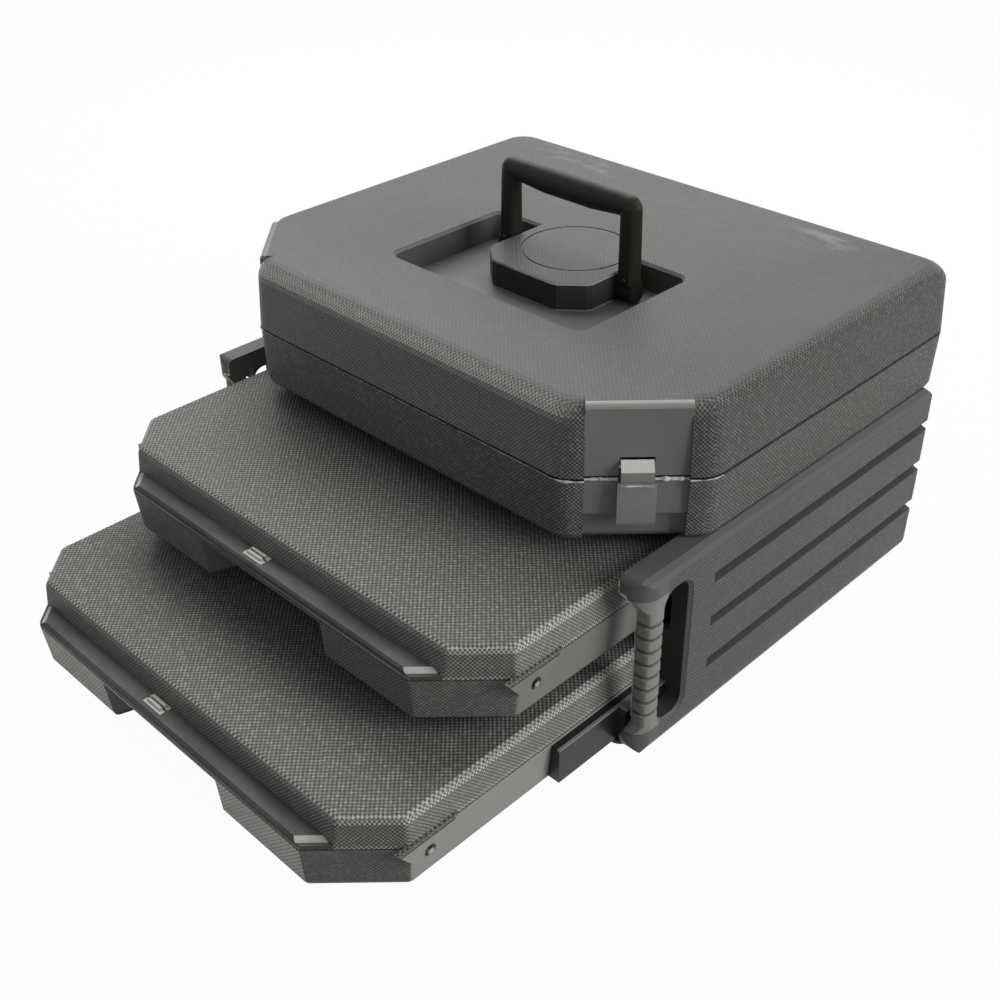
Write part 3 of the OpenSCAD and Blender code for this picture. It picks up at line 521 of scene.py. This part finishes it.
def drawer_painted_highlights(case):
    """Painted highlights of one drawer case: on the thumb pad's bars, the strip's lower edge and ends, the
    boss and the tray front.
    """

    def spots(finish):
        x, y, z = finish.split(finish.place)
        nx, ny, _ = finish.split(finish.facing)
        depth = y - case["front"]
        rise = z - case["foot"] - TRAY_H
        pad = (abs(x + 0.012) < 0.0104) * depth.between(0.0056, 0.0148) * (rise > 0.0054)
        bars = pad * (abs(depth - 0.0104) > 0.0008)
        lip = rise.between(0.0004, 0.0021) * (depth < 0.0040) * (abs(x) < 0.1530)
        wear_and_highlight_breakup = finish.noise(50.0, 2.0, 0.5, stretch=(0.3, 1.0, 1.0)).fade(0.25, 0.60)
        ends = abs(x).between(0.1400, STRIP_HALF) * (depth < 0.0150) * (rise > 0.0036) * (abs(nx) > 0.20)
        boss = from_boss(finish, case) < 0.0014
        front = (ny < -0.60) * (nx < 0.30) * (rise < -0.0008) * case["front_highlight"]
        weave = ((x - z) * (2 * math.pi / 0.0034)).cosine() * 0.30 + 0.70
        # All of these are painted highlights; the noise breaks the lip and the ends into patches.
        pale = bars * 0.9 + lip * wear_and_highlight_breakup * 0.30 + ends * wear_and_highlight_breakup * 0.75 + boss * 0.5
        return (pale + front * weave).least(1.0)

    return spots


def latch_top_highlight(finish):
    """The latch's sloping top, with a painted highlight."""
    z = finish.split(finish.place)[2]
    nz = finish.split(finish.facing)[2]
    return (nz > 0.3) * (z > SEAM_Z + 0.0074) * (0.75 + finish.noise(90.0, 3.0) * 0.3)


def rail_edge_highlight(case):
    """The slide rails' upper outer edge, with a painted highlight."""

    def spots(finish):
        x, _, z = finish.split(finish.place)
        top = case["foot"] + TRAY_H / 2 + RAIL_H / 2
        return (z > top - 0.0012) * (abs(x) > 0.2046) * 0.30

    return spots


def satin(name, colour, roughness, grain_size=240.0, depth=0.00012, edge_wear_and_highlight=0.25, shine=0.25, spots=None):
    """Smooth moulding with faint flow marks, lighter along its rounded edges by edge wear and a painted
    highlight; spots are pale painted highlights.
    """
    finish = Finish(name)
    nx, ny, nz = finish.split(finish.facing)
    flow = finish.noise(38.0, 3.0, 0.55, stretch=(0.35, 1.0, 1.0)) - 0.5
    fine = finish.noise(grain_size, 3.0, 0.6)
    edge = 1.0 - abs(nx).most(abs(ny)).most(abs(nz)).fade(0.76, 0.96)
    # Rounded edges lighter: edge wear and a painted highlight.
    tone = 1.0 + flow * 0.30 + (fine - 0.5) * 0.20 + edge * edge_wear_and_highlight
    rough = finish.noise(90.0, 3.0) * 0.14 + (roughness - 0.07)
    colour_out = finish.shade(tuple(colour), tone)
    if spots is not None:
        colour_out = finish.mix(spots(finish).least(1.0), colour_out, (0.88, 0.88, 0.85, 1.0))
    return finish.close(colour_out, rough, fine, depth, Specular_IOR_Level=shine)


def plated(name, colour):
    """Zinc-plated steel with fine drawn marks."""
    finish = Finish(name)
    marks = finish.noise(420.0, 2.0, 0.6, stretch=(0.15, 1.0, 1.0))
    stain = finish.noise(55.0, 3.0).fade(0.50, 0.78)
    colour_out = finish.shade(tuple(colour), 1.0 + (marks - 0.5) * 0.25 - stain * 0.22)
    return finish.close(colour_out, 0.30 + marks * 0.16 + stain * 0.12, marks, 0.00004, Metallic=1.0)


def ragged(name, colour):
    """Thin stretched plastic, paler and glossier than the wall it stands on."""
    finish = Finish(name)
    patch = finish.noise(180.0, 3.0, 0.6)
    colour_out = finish.mix(patch.fade(0.30, 0.55), (0.24, 0.24, 0.23, 1.0), rgba(colour))
    return finish.close(colour_out, 0.34 + patch * 0.2, patch, 0.0002)


def dress(material, *nodes):
    """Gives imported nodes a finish."""
    for name in nodes:
        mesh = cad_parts[name].data
        mesh.materials.clear()
        mesh.materials.append(material)


# ---------- geometry node pieces ----------


class Maker:
    """A geometry node tree with named inputs that ends in Realize Instances and Set Material."""

    def __init__(self, name, inputs):
        self.tree = bpy.data.node_groups.new(name, "GeometryNodeTree")
        face = self.tree.interface
        face.new_socket(name="Geometry", in_out="INPUT", socket_type="NodeSocketGeometry")
        self.keys = {}
        for label, kind in inputs.items():
            made = face.new_socket(name=label, in_out="INPUT", socket_type=kind)
            self.keys[label] = made.identifier
        face.new_socket(name="Geometry", in_out="OUTPUT", socket_type="NodeSocketGeometry")
        self.start = self.tree.nodes.new("NodeGroupInput")

    def size(self, label):
        return self.start.outputs[label]

    def add(self, kind, settings=None, sockets=None):
        """Adds one node with its settings and the values or links of its sockets."""
        made = self.tree.nodes.new(kind)
        for name, value in (settings or {}).items():
            setattr(made, name, value)
        for key, value in (sockets or {}).items():
            if isinstance(value, bpy.types.NodeSocket):
                self.tree.links.new(value, made.inputs[key])
            else:
                made.inputs[key].default_value = value
        return made.outputs[0]

    def times(self, first, second):
        return self.add("ShaderNodeMath", {"operation": "MULTIPLY"}, {0: first, 1: second})

    def along_z(self, amount):
        return self.add("ShaderNodeCombineXYZ", None, {2: amount})

    def joined(self, *parts):
        made = self.tree.nodes.new("GeometryNodeJoinGeometry")
        for part in reversed(parts):
            self.tree.links.new(part, made.inputs[0])
        return made.outputs[0]

    def finish(self, shape, material):
        realized = self.add("GeometryNodeRealizeInstances", None, {0: shape})
        painted = self.add("GeometryNodeSetMaterial", None, {0: realized, "Material": material})
        end = self.tree.nodes.new("NodeGroupOutput")
        self.tree.links.new(painted, end.inputs[0])

    def make(self, name, seed_mesh, values):
        """Runs the tree on a mesh of points or paths and returns the plain result."""
        carrier = bpy.data.objects.new(name + "_seed", seed_mesh)
        bpy.context.scene.collection.objects.link(carrier)
        modifier = carrier.modifiers.new("make", "NODES")
        modifier.node_group = self.tree
        for label, value in values.items():
            modifier[self.keys[label]] = value
        carrier.update_tag()
        seen = carrier.evaluated_get(bpy.context.evaluated_depsgraph_get())
        mesh = bpy.data.meshes.new_from_object(seen)
        mesh.name = name
        carrier.modifiers.remove(modifier)
        bpy.data.objects.remove(carrier)
        piece = bpy.data.objects.new(name, mesh)
        bpy.context.scene.collection.objects.link(piece)
        return piece


def points_mesh(name, points):
    """A mesh of loose points, each with the direction its piece stands in."""
    mesh = bpy.data.meshes.new(name)
    mesh.from_pydata([place for place, _ in points], [], [])
    axis = mesh.attributes.new("axis", "FLOAT_VECTOR", "POINT")
    for k, (_, direction) in enumerate(points):
        axis.data[k].vector = direction
    return mesh


def paths_mesh(name, paths):
    """A mesh of open paths; each point carries the share of the full thickness there."""
    places, edges, shares = [], [], []
    for path in paths:
        first = len(places)
        for place, share in path:
            places.append(place)
            shares.append(share)
        edges += [(first + k, first + k + 1) for k in range(len(path) - 1)]
    mesh = bpy.data.meshes.new(name)
    mesh.from_pydata(places, edges, [])
    attribute = mesh.attributes.new("share", "FLOAT", "POINT")
    attribute.data.foreach_set("value", shares)
    return mesh


def turned_to_axis(maker):
    axis = maker.add("GeometryNodeInputNamedAttribute", {"data_type": "FLOAT_VECTOR"}, {"Name": "axis"})
    return maker.add("FunctionNodeAlignRotationToVector", {"axis": "Z"}, {"Vector": axis})


def screw_maker(material):
    """Pan-head screws with a cross drive, head towards the axis of each point."""
    maker = Maker("case_screw", {"Head radius": "NodeSocketFloat", "Head height": "NodeSocketFloat",
                                 "Shank radius": "NodeSocketFloat", "Shank length": "NodeSocketFloat"})
    radius, height = maker.size("Head radius"), maker.size("Head height")
    rim = maker.times(height, 0.68)
    crown = maker.times(height, 0.32)
    skirt = maker.add("GeometryNodeMeshCylinder", {"fill_type": "NGON"},
                      {"Vertices": 28, "Radius": radius, "Depth": rim})
    skirt = maker.add("GeometryNodeTransform", None,
                      {0: skirt, "Translation": maker.along_z(maker.times(rim, 0.5))})
    dome = maker.add("GeometryNodeMeshCone", {"fill_type": "NGON"},
                     {"Vertices": 28, "Radius Top": maker.times(radius, 0.68),
                      "Radius Bottom": maker.times(radius, 0.999), "Depth": crown})
    dome = maker.add("GeometryNodeTransform", None, {0: dome, "Translation": maker.along_z(rim)})
    head = maker.add("GeometryNodeMeshBoolean", {"operation": "UNION", "solver": "EXACT"},
                     {"Mesh 2": maker.joined(skirt, dome)})
    long_slot, thin_slot = maker.times(radius, 1.05), maker.times(radius, 0.24)
    slots = []
    for wide, deep in ((long_slot, thin_slot), (thin_slot, long_slot)):
        box = maker.add("ShaderNodeCombineXYZ", None, {0: wide, 1: deep, 2: height})
        cut = maker.add("GeometryNodeMeshCube", None, {"Size": box})
        slots.append(maker.add("GeometryNodeTransform", None,
                               {0: cut, "Translation": maker.along_z(maker.times(height, 1.1))}))
    cross = maker.tree.nodes.new("GeometryNodeMeshBoolean")
    cross.operation = "DIFFERENCE"
    cross.solver = "EXACT"
    maker.tree.links.new(head, cross.inputs[0])
    for cut in slots:
        maker.tree.links.new(cut, cross.inputs[1])
    length = maker.size("Shank length")
    shank = maker.add("GeometryNodeMeshCylinder", {"fill_type": "NGON"},
                      {"Vertices": 16, "Radius": maker.size("Shank radius"), "Depth": length})
    shank = maker.add("GeometryNodeTransform", None,
                      {0: shank, "Translation": maker.along_z(maker.times(length, -0.5))})
    screws = maker.add("GeometryNodeInstanceOnPoints", None,
                       {"Points": maker.size("Geometry"), "Instance": maker.joined(cross.outputs[0], shank),
                        "Rotation": turned_to_axis(maker)})
    maker.finish(screws, material)
    return maker


def stud_maker(material):
    """Low round studs, crown towards the axis of each point."""
    maker = Maker("case_stud", {"Radius": "NodeSocketFloat"})
    radius = maker.size("Radius")
    ball = maker.add("GeometryNodeMeshUVSphere", None, {"Segments": 20, "Rings": 12, "Radius": radius})
    flat = maker.add("GeometryNodeTransform", None, {0: ball, "Scale": (1.0, 1.0, 0.45)})
    smooth = maker.add("GeometryNodeSetShadeSmooth", None, {0: flat})
    studs = maker.add("GeometryNodeInstanceOnPoints", None,
                      {"Points": maker.size("Geometry"), "Instance": smooth,
                       "Rotation": turned_to_axis(maker)})
    maker.finish(studs, material)
    return maker


def flash_maker(material):
    """Ragged beads along parting lines: the thickness wanders with a seeded noise."""
    maker = Maker("case_flash", {"Thickness": "NodeSocketFloat", "Step": "NodeSocketFloat",
                                 "Seed": "NodeSocketFloat"})
    curve = maker.add("GeometryNodeMeshToCurve", None, {0: maker.size("Geometry")})
    even = maker.add("GeometryNodeResampleCurve", {"mode": "LENGTH"},
                     {"Curve": curve, "Length": maker.size("Step")})
    share = maker.add("GeometryNodeInputNamedAttribute", {"data_type": "FLOAT"}, {"Name": "share"})
    wander = maker.add("ShaderNodeTexNoise", {"noise_dimensions": "4D"},
                       {"W": maker.size("Seed"), "Scale": 260.0, "Detail": 2.0})
    swing = maker.add("ShaderNodeMapRange", None, {0: wander, 1: 0.30, 2: 0.70, 3: 0.25, 4: 1.0})
    ring = maker.add("GeometryNodeCurvePrimitiveCircle", {"mode": "RADIUS"},
                     {"Resolution": 7, "Radius": maker.size("Thickness")})
    bead = maker.add("GeometryNodeCurveToMesh", None,
                     {"Curve": even, "Profile Curve": ring, "Scale": maker.times(swing, share),
                      "Fill Caps": True})
    smooth = maker.add("GeometryNodeSetShadeSmooth", None, {0: bead})
    maker.finish(smooth, material)
    return maker


def corner_point(outward, along, z, side):
    """A point in the frame of a corner chamfer: outward from the case, along the chamfer."""
    return (side * (outward + along) / ROOT2, (along - outward) / ROOT2, z)


def corner_arc(centre, start, reach, z, side):
    """Five points round an eighth of a circle from a start angle in degrees."""
    turns = [math.radians(start + 45 * k / 4) for k in range(5)]
    return [(side * (centre[0] + reach * math.cos(turn)), centre[1] + reach * math.sin(turn), z)
            for turn in turns]


def case_outline(z, grow, side):
    """The top case's outline from its front round one latch corner to its side, with the panel's step."""
    bend = CORNER_R * math.tan(math.pi / 8)
    chamfer_x = CASE_X - CASE_CHAMFER
    chamfer_y = FRONT_Y + CASE_CHAMFER
    reach = CORNER_R + grow
    outer = (CASE_X - FRONT_Y - CASE_CHAMFER) / ROOT2 + grow
    panel = PANEL_N + grow
    near, far = PANEL_T - PANEL_HALF, PANEL_T + PANEL_HALF
    steps = [corner_point(outward, along, z, side)
             for outward, along in ((outer, near), (panel, near), (panel, far), (outer, far))]
    return (corner_arc((chamfer_x - bend, FRONT_Y + CORNER_R), -90, reach, z, side) + steps
            + corner_arc((CASE_X - CORNER_R, chamfer_y + bend), -45, reach, z, side))


def stretch(path, start, end, shares):
    """The part of a path between two of its points, with the given thickness shares."""
    part = path[start:end + 1]
    last = max(1, len(part) - 1)
    return [(place, shares[round(k * (len(shares) - 1) / last)]) for k, place in enumerate(part)]


# ---------- operators ----------


class CASE_OT_studio(Operator):
    """Makes the camera, the lamps, the room and the floor"""

    bl_idname = "case.studio"
    bl_label = "Studio"

    def execute(self, context):
        settings = context.scene.case_studio
        yaw, pitch, roll = CAMERA_TURNS
        ahead = Vector((-math.sin(yaw) * math.cos(pitch), math.cos(yaw) * math.cos(pitch), -math.sin(pitch)))
        right = Vector((math.cos(yaw), math.sin(yaw), 0.0))
        up = right.cross(ahead)
        tilted_right = right * math.cos(roll) + up * math.sin(roll)
        tilted_up = up * math.cos(roll) - right * math.sin(roll)
        data = bpy.data.cameras.new("camera")
        data.lens = settings.lens
        data.sensor_width = 36.0
        data.clip_start = 0.05
        camera = bpy.data.objects.new("camera", data)
        turn = Matrix((tilted_right, tilted_up, -ahead)).transposed().to_4x4()
        camera.matrix_world = Matrix.Translation(CAMERA_PLACE) @ turn
        context.scene.collection.objects.link(camera)
        context.scene.camera = camera

        self.lamp(context, "overhead_box", (-0.85, 0.75, 1.60), 1.9, settings.key_power)
        self.lamp(context, "right_box", (1.9, 0.55, 0.95), 1.2, settings.side_power)
        self.room(context, settings.sky)
        self.floor(context)
        context.scene.view_settings.view_transform = "Standard"
        return {"FINISHED"}

    @staticmethod
    def lamp(context, name, place, size, power):
        data = bpy.data.lights.new(name, "AREA")
        data.shape = "SQUARE"
        data.size = size
        data.energy = power
        lamp = bpy.data.objects.new(name, data)
        aim = Vector((0.0, -0.1, 0.12)) - Vector(place)
        lamp.matrix_world = Matrix.Translation(place) @ aim.to_track_quat("-Z", "Y").to_matrix().to_4x4()
        context.scene.collection.objects.link(lamp)

    @staticmethod
    def seen_directly(tree):
        """1 for rays from the camera, in mirrors and through glass, else 0."""
        rays = tree.nodes.new("ShaderNodeLightPath")
        total = rays.outputs["Is Camera Ray"]
        for name in ("Is Glossy Ray", "Is Transmission Ray"):
            most = tree.nodes.new("ShaderNodeMath")
            most.operation = "MAXIMUM"
            tree.links.new(total, most.inputs[0])
            tree.links.new(rays.outputs[name], most.inputs[1])
            total = most.outputs[0]
        return total

    def room(self, context, strength):
        world = bpy.data.worlds.new("room")
        world.use_nodes = True
        tree = world.node_tree
        tree.nodes.clear()
        even = tree.nodes.new("ShaderNodeBackground")
        even.inputs["Strength"].default_value = strength
        white = tree.nodes.new("ShaderNodeBackground")
        mix = tree.nodes.new("ShaderNodeMixShader")
        end = tree.nodes.new("ShaderNodeOutputWorld")
        for lamp in (even, white):
            lamp.inputs["Color"].default_value = (1.0, 1.0, 1.0, 1.0)
        tree.links.new(self.seen_directly(tree), mix.inputs[0])
        tree.links.new(even.outputs[0], mix.inputs[1])
        tree.links.new(white.outputs[0], mix.inputs[2])
        tree.links.new(mix.outputs[0], end.inputs[0])
        context.scene.world = world

    def floor(self, context):
        half = 6.0
        corners = [(-half, -half, 0.0), (half, -half, 0.0), (half, half, 0.0), (-half, half, 0.0)]
        mesh = bpy.data.meshes.new("floor")
        mesh.from_pydata(corners, [], [(0, 1, 2, 3)])
        floor = bpy.data.objects.new("floor", mesh)
        context.scene.collection.objects.link(floor)
        material = bpy.data.materials.new("pale_floor")
        material.use_nodes = True
        tree = material.node_tree
        tree.nodes.clear()
        matt = tree.nodes.new("ShaderNodeBsdfDiffuse")
        matt.inputs["Color"].default_value = (0.32, 0.32, 0.32, 1.0)
        pale = tree.nodes.new("ShaderNodeBsdfDiffuse")
        pale.inputs["Color"].default_value = (0.90, 0.90, 0.90, 1.0)
        glow = tree.nodes.new("ShaderNodeEmission")
        bright = tree.nodes.new("ShaderNodeMixShader")
        bright.inputs[0].default_value = 0.96
        mix = tree.nodes.new("ShaderNodeMixShader")
        end = tree.nodes.new("ShaderNodeOutputMaterial")
        tree.links.new(pale.outputs[0], bright.inputs[1])
        tree.links.new(glow.outputs[0], bright.inputs[2])
        tree.links.new(self.seen_directly(tree), mix.inputs[0])
        tree.links.new(matt.outputs[0], mix.inputs[1])
        tree.links.new(bright.outputs[0], mix.inputs[2])
        tree.links.new(mix.outputs[0], end.inputs[0])
        mesh.materials.append(material)


class CASE_OT_housing(Operator):
    """Finishes the housing: side walls, back wall and base panel"""

    bl_idname = "case.housing"
    bl_label = "Housing"

    def execute(self, context):
        scene = context.scene
        colour = scene.case_colours.housing
        walls = moulded("housing_polyethylene", colour, scene.case_grain, housing_cover, 0.55,
                        tones=housing_light_and_shade)
        dress(walls, "side_wall_left", "side_wall_right", "back_wall")
        dress(satin("base_sheet", colour, 0.55), "base_panel")
        return {"FINISHED"}


class CASE_OT_top_case(Operator):
    """Finishes the top case: base, lid, lining and insert"""

    bl_idname = "case.top_case"
    bl_label = "Top case"

    def execute(self, context):
        scene = context.scene
        colours = scene.case_colours
        shell = moulded("case_polyethylene", colours.case, scene.case_grain, case_cover, 1.30,
                        glint=2.2, rim_highlight=2.1, shy=1.6, tones=case_light_and_shade, spots=case_scuffs_and_highlights)
        dress(shell, "case_lid", "case_base")
        dress(satin("formed_lining", colours.insert, 0.60, 150.0, 0.0002), "lid_liner", "case_insert")
        return {"FINISHED"}


class CASE_OT_drawers(Operator):
    """Finishes the two drawer cases"""

    bl_idname = "case.drawers"
    bl_label = "Drawer cases"

    def execute(self, context):
        scene = context.scene
        colour = scene.case_colours.drawer
        for level, case in (("upper", UPPER), ("lower", LOWER)):
            skin = moulded(level + "_drawer_polyethylene", colour, scene.case_grain,
                           drawer_cover(case), 0.95, glint=2.1, tones=drawer_light_and_shade(case),
                           spots=drawer_painted_highlights(case))
            dress(skin, level + "_tray", level + "_lid")
        return {"FINISHED"}


class CASE_OT_fittings(Operator):
    """Finishes the latches, the carry handle, the slide rails and the pins"""

    bl_idname = "case.fittings"
    bl_label = "Latches, handle, rails and pins"

    def execute(self, context):
        colours = context.scene.case_colours
        dress(satin("latch_polyethylene", colours.latch, 0.42, edge_wear_and_highlight=0.55, spots=latch_top_highlight),
              "latch_left", "latch_right")
        dress(satin("handle_moulding", colours.handle, 0.46, 120.0, 0.0003, 0.4, 0.16), "carry_handle")
        for level, case in (("upper", UPPER), ("lower", LOWER)):
            dress(satin(level + "_rail_moulding", colours.runner, 0.34, 300.0, 0.0001, 1.6,
                        spots=rail_edge_highlight(case)),
                  level + "_runner_left", level + "_runner_right")
        dress(plated("pin_plate", colours.steel), "case_hinge_pins", "handle_pins", "latch_pins",
              "upper_hinge_pins", "lower_hinge_pins")
        return {"FINISHED"}


class CASE_OT_screws(Operator):
    """Puts cross-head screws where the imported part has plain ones"""

    bl_idname = "case.screws"
    bl_label = "Screws"

    def execute(self, context):
        sizes = context.scene.case_fittings
        maker = screw_maker(plated("screw_plate", context.scene.case_colours.steel))
        back = [((side * BACK_SCREW_X, BACK_Y - BACK_SCREW_SUNK, z), (0.0, 1.0, 0.0))
                for side in (-1, 1) for z in BACK_SCREW_Z]
        inside = [((side * SEAT_SCREW_X, y, SEAT_SCREW_Z), (0.0, 0.0, 1.0))
                  for side in (-1, 1) for y in SEAT_SCREW_Y]
        self.put(maker, sizes, "back_screws", back, 0.011, "housing", "housing_screws")
        self.put(maker, sizes, "seat_screws", inside, 0.012, "housing", "case_screws")
        for level, case in (("upper", UPPER), ("lower", LOWER)):
            rail = [((side * RAIL_SCREW_X, case["front"] + y, case["foot"] + TRAY_H / 2), (side, 0.0, 0.0))
                    for side in (-1, 1) for y in RAIL_SCREW_Y]
            self.put(maker, sizes, level + "_rail_screws", rail, 0.01684, level + "_drawer",
                     level + "_runner_screws")
        return {"FINISHED"}

    @staticmethod
    def put(maker, sizes, name, points, length, body, node):
        piece = maker.make(name, points_mesh(name, points), {
            "Head radius": sizes.head_radius, "Head height": sizes.head_height,
            "Shank radius": sizes.shank_radius, "Shank length": length})
        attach(piece, body)
        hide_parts(node)


class CASE_OT_studs(Operator):
    """Adds the moulded studs at the feet of the handle's legs"""

    bl_idname = "case.studs"
    bl_label = "Handle studs"

    def execute(self, context):
        colour = context.scene.case_colours.handle
        maker = stud_maker(satin("stud_moulding", colour, 0.22, edge_wear_and_highlight=1.2))
        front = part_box("carry_handle")[0].y
        studs = [((side * STUD_X, front + 0.0002, STUD_Z), (0.0, -1.0, 0.0)) for side in (-1, 1)]
        piece = maker.make("handle_studs", points_mesh("handle_studs", studs),
                           {"Radius": context.scene.case_fittings.stud_radius})
        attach(piece, "handle")
        return {"FINISHED"}


class CASE_OT_flash(Operator):
    """Lays ragged moulding flash along the parting lines"""

    bl_idname = "case.flash"
    bl_label = "Moulding flash"

    def execute(self, context):
        sizes = context.scene.case_fittings
        maker = flash_maker(ragged("flash_plastic", context.scene.case_colours.flash))
        seam = []
        # Each point of a path carries its share of the full thickness.
        for side in (1, -1):
            ring = case_outline(SEAM_Z - 0.0008, 0.0001, side)
            seam.append(stretch(ring, 0, 5, [0.3, 0.8, 1.3, 0.7, 1.0]))
            left = [corner_point(PANEL_N + 0.0002, PANEL_T + a, SEAM_Z - 0.0010, side)
                    for a in (-0.0333, -0.024, -0.0116)]
            right = [corner_point(PANEL_N + 0.0002, PANEL_T + a, SEAM_Z - 0.0012, side)
                     for a in (0.0116, 0.022, 0.0333)]
            seam.append([(place, share) for place, share in zip(left, (1.6, 2.0, 2.4))])
            seam.append([(place, share) for place, share in zip(right, (2.2, 2.6, 2.0))])
            seam.append(stretch(ring, 8, 13, [0.9, 0.7, 0.5]))
        front = [((x, FRONT_Y - 0.0001, SEAM_Z - 0.0006), share) for x, share in
                 ((-0.150, 0.35), (-0.08, 0.2), (0.0, 0.3), (0.07, 0.2), (0.105, 0.45), (0.146, 0.3))]
        seam.append(front)
        for side in (1, -1):
            seam.append([((side * 0.2075, -0.1710, 0.1460), 0.6), ((side * 0.2075, -0.1711, 0.1372), 1.0),
                         ((side * 0.2139, -0.1713, 0.1366), 1.2), ((side * 0.2152, -0.1632, 0.1235), 1.0),
                         ((side * 0.2150, -0.1610, 0.0950), 0.6), ((side * 0.2150, -0.1610, 0.0300), 0.6)])
        self.lay(maker, sizes, "seam_flash", seam, "housing", "case_plastic")

        for side, body in ((1, "latch_right"), (-1, "latch_left")):
            across = [(corner_point(PANEL_N + 0.0072, PANEL_T + a, SEAM_Z - 0.0022, side), share)
                      for a, share in ((-0.0105, 1.0), (-0.004, 1.3), (0.004, 1.2), (0.0105, 1.5))]
            self.lay(maker, sizes, body + "_flash", [across], body, "case_plastic")
        return {"FINISHED"}

    @staticmethod
    def lay(maker, sizes, name, paths, body, slot):
        piece = maker.make(name, paths_mesh(name, paths), {
            "Thickness": sizes.flash_radius, "Step": sizes.flash_step, "Seed": float(sizes.seed)})
        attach(piece, body)


class CASE_PT_panel(Panel):
    """Lists the pieces of the tool case"""

    bl_idname = "CASE_PT_panel"
    bl_label = "Tool case"
    bl_space_type = "VIEW_3D"
    bl_region_type = "UI"
    bl_category = "Tool case"

    def draw(self, context):
        scene = context.scene
        for title, settings in (("Grain", scene.case_grain), ("Colours", scene.case_colours),
                                ("Fittings", scene.case_fittings), ("Studio", scene.case_studio)):
            box = self.layout.box()
            box.label(text=title)
            for name in settings.bl_rna.properties.keys():
                if name not in {"rna_type", "name"}:
                    box.prop(settings, name)
        for step in STEPS:
            self.layout.operator(step.bl_idname)


GROUPS = {"case_grain": CaseGrain, "case_colours": CaseColours,
          "case_fittings": CaseFittings, "case_studio": CaseStudio}
STEPS = (CASE_OT_studio, CASE_OT_housing, CASE_OT_top_case, CASE_OT_drawers, CASE_OT_fittings,
         CASE_OT_screws, CASE_OT_studs, CASE_OT_flash)


def register():
    for name, group in GROUPS.items():
        bpy.utils.register_class(group)
        setattr(bpy.types.Scene, name, PointerProperty(type=group))
    for step in STEPS + (CASE_PT_panel,):
        bpy.utils.register_class(step)


def unregister():
    for step in (CASE_PT_panel,) + STEPS[::-1]:
        bpy.utils.unregister_class(step)
    for name, group in GROUPS.items():
        delattr(bpy.types.Scene, name)
        bpy.utils.unregister_class(group)


def main():
    register()
    for step in STEPS:
        group, name = step.bl_idname.split(".")
        getattr(getattr(bpy.ops, group), name)()


if __name__ == "__main__":
    main()
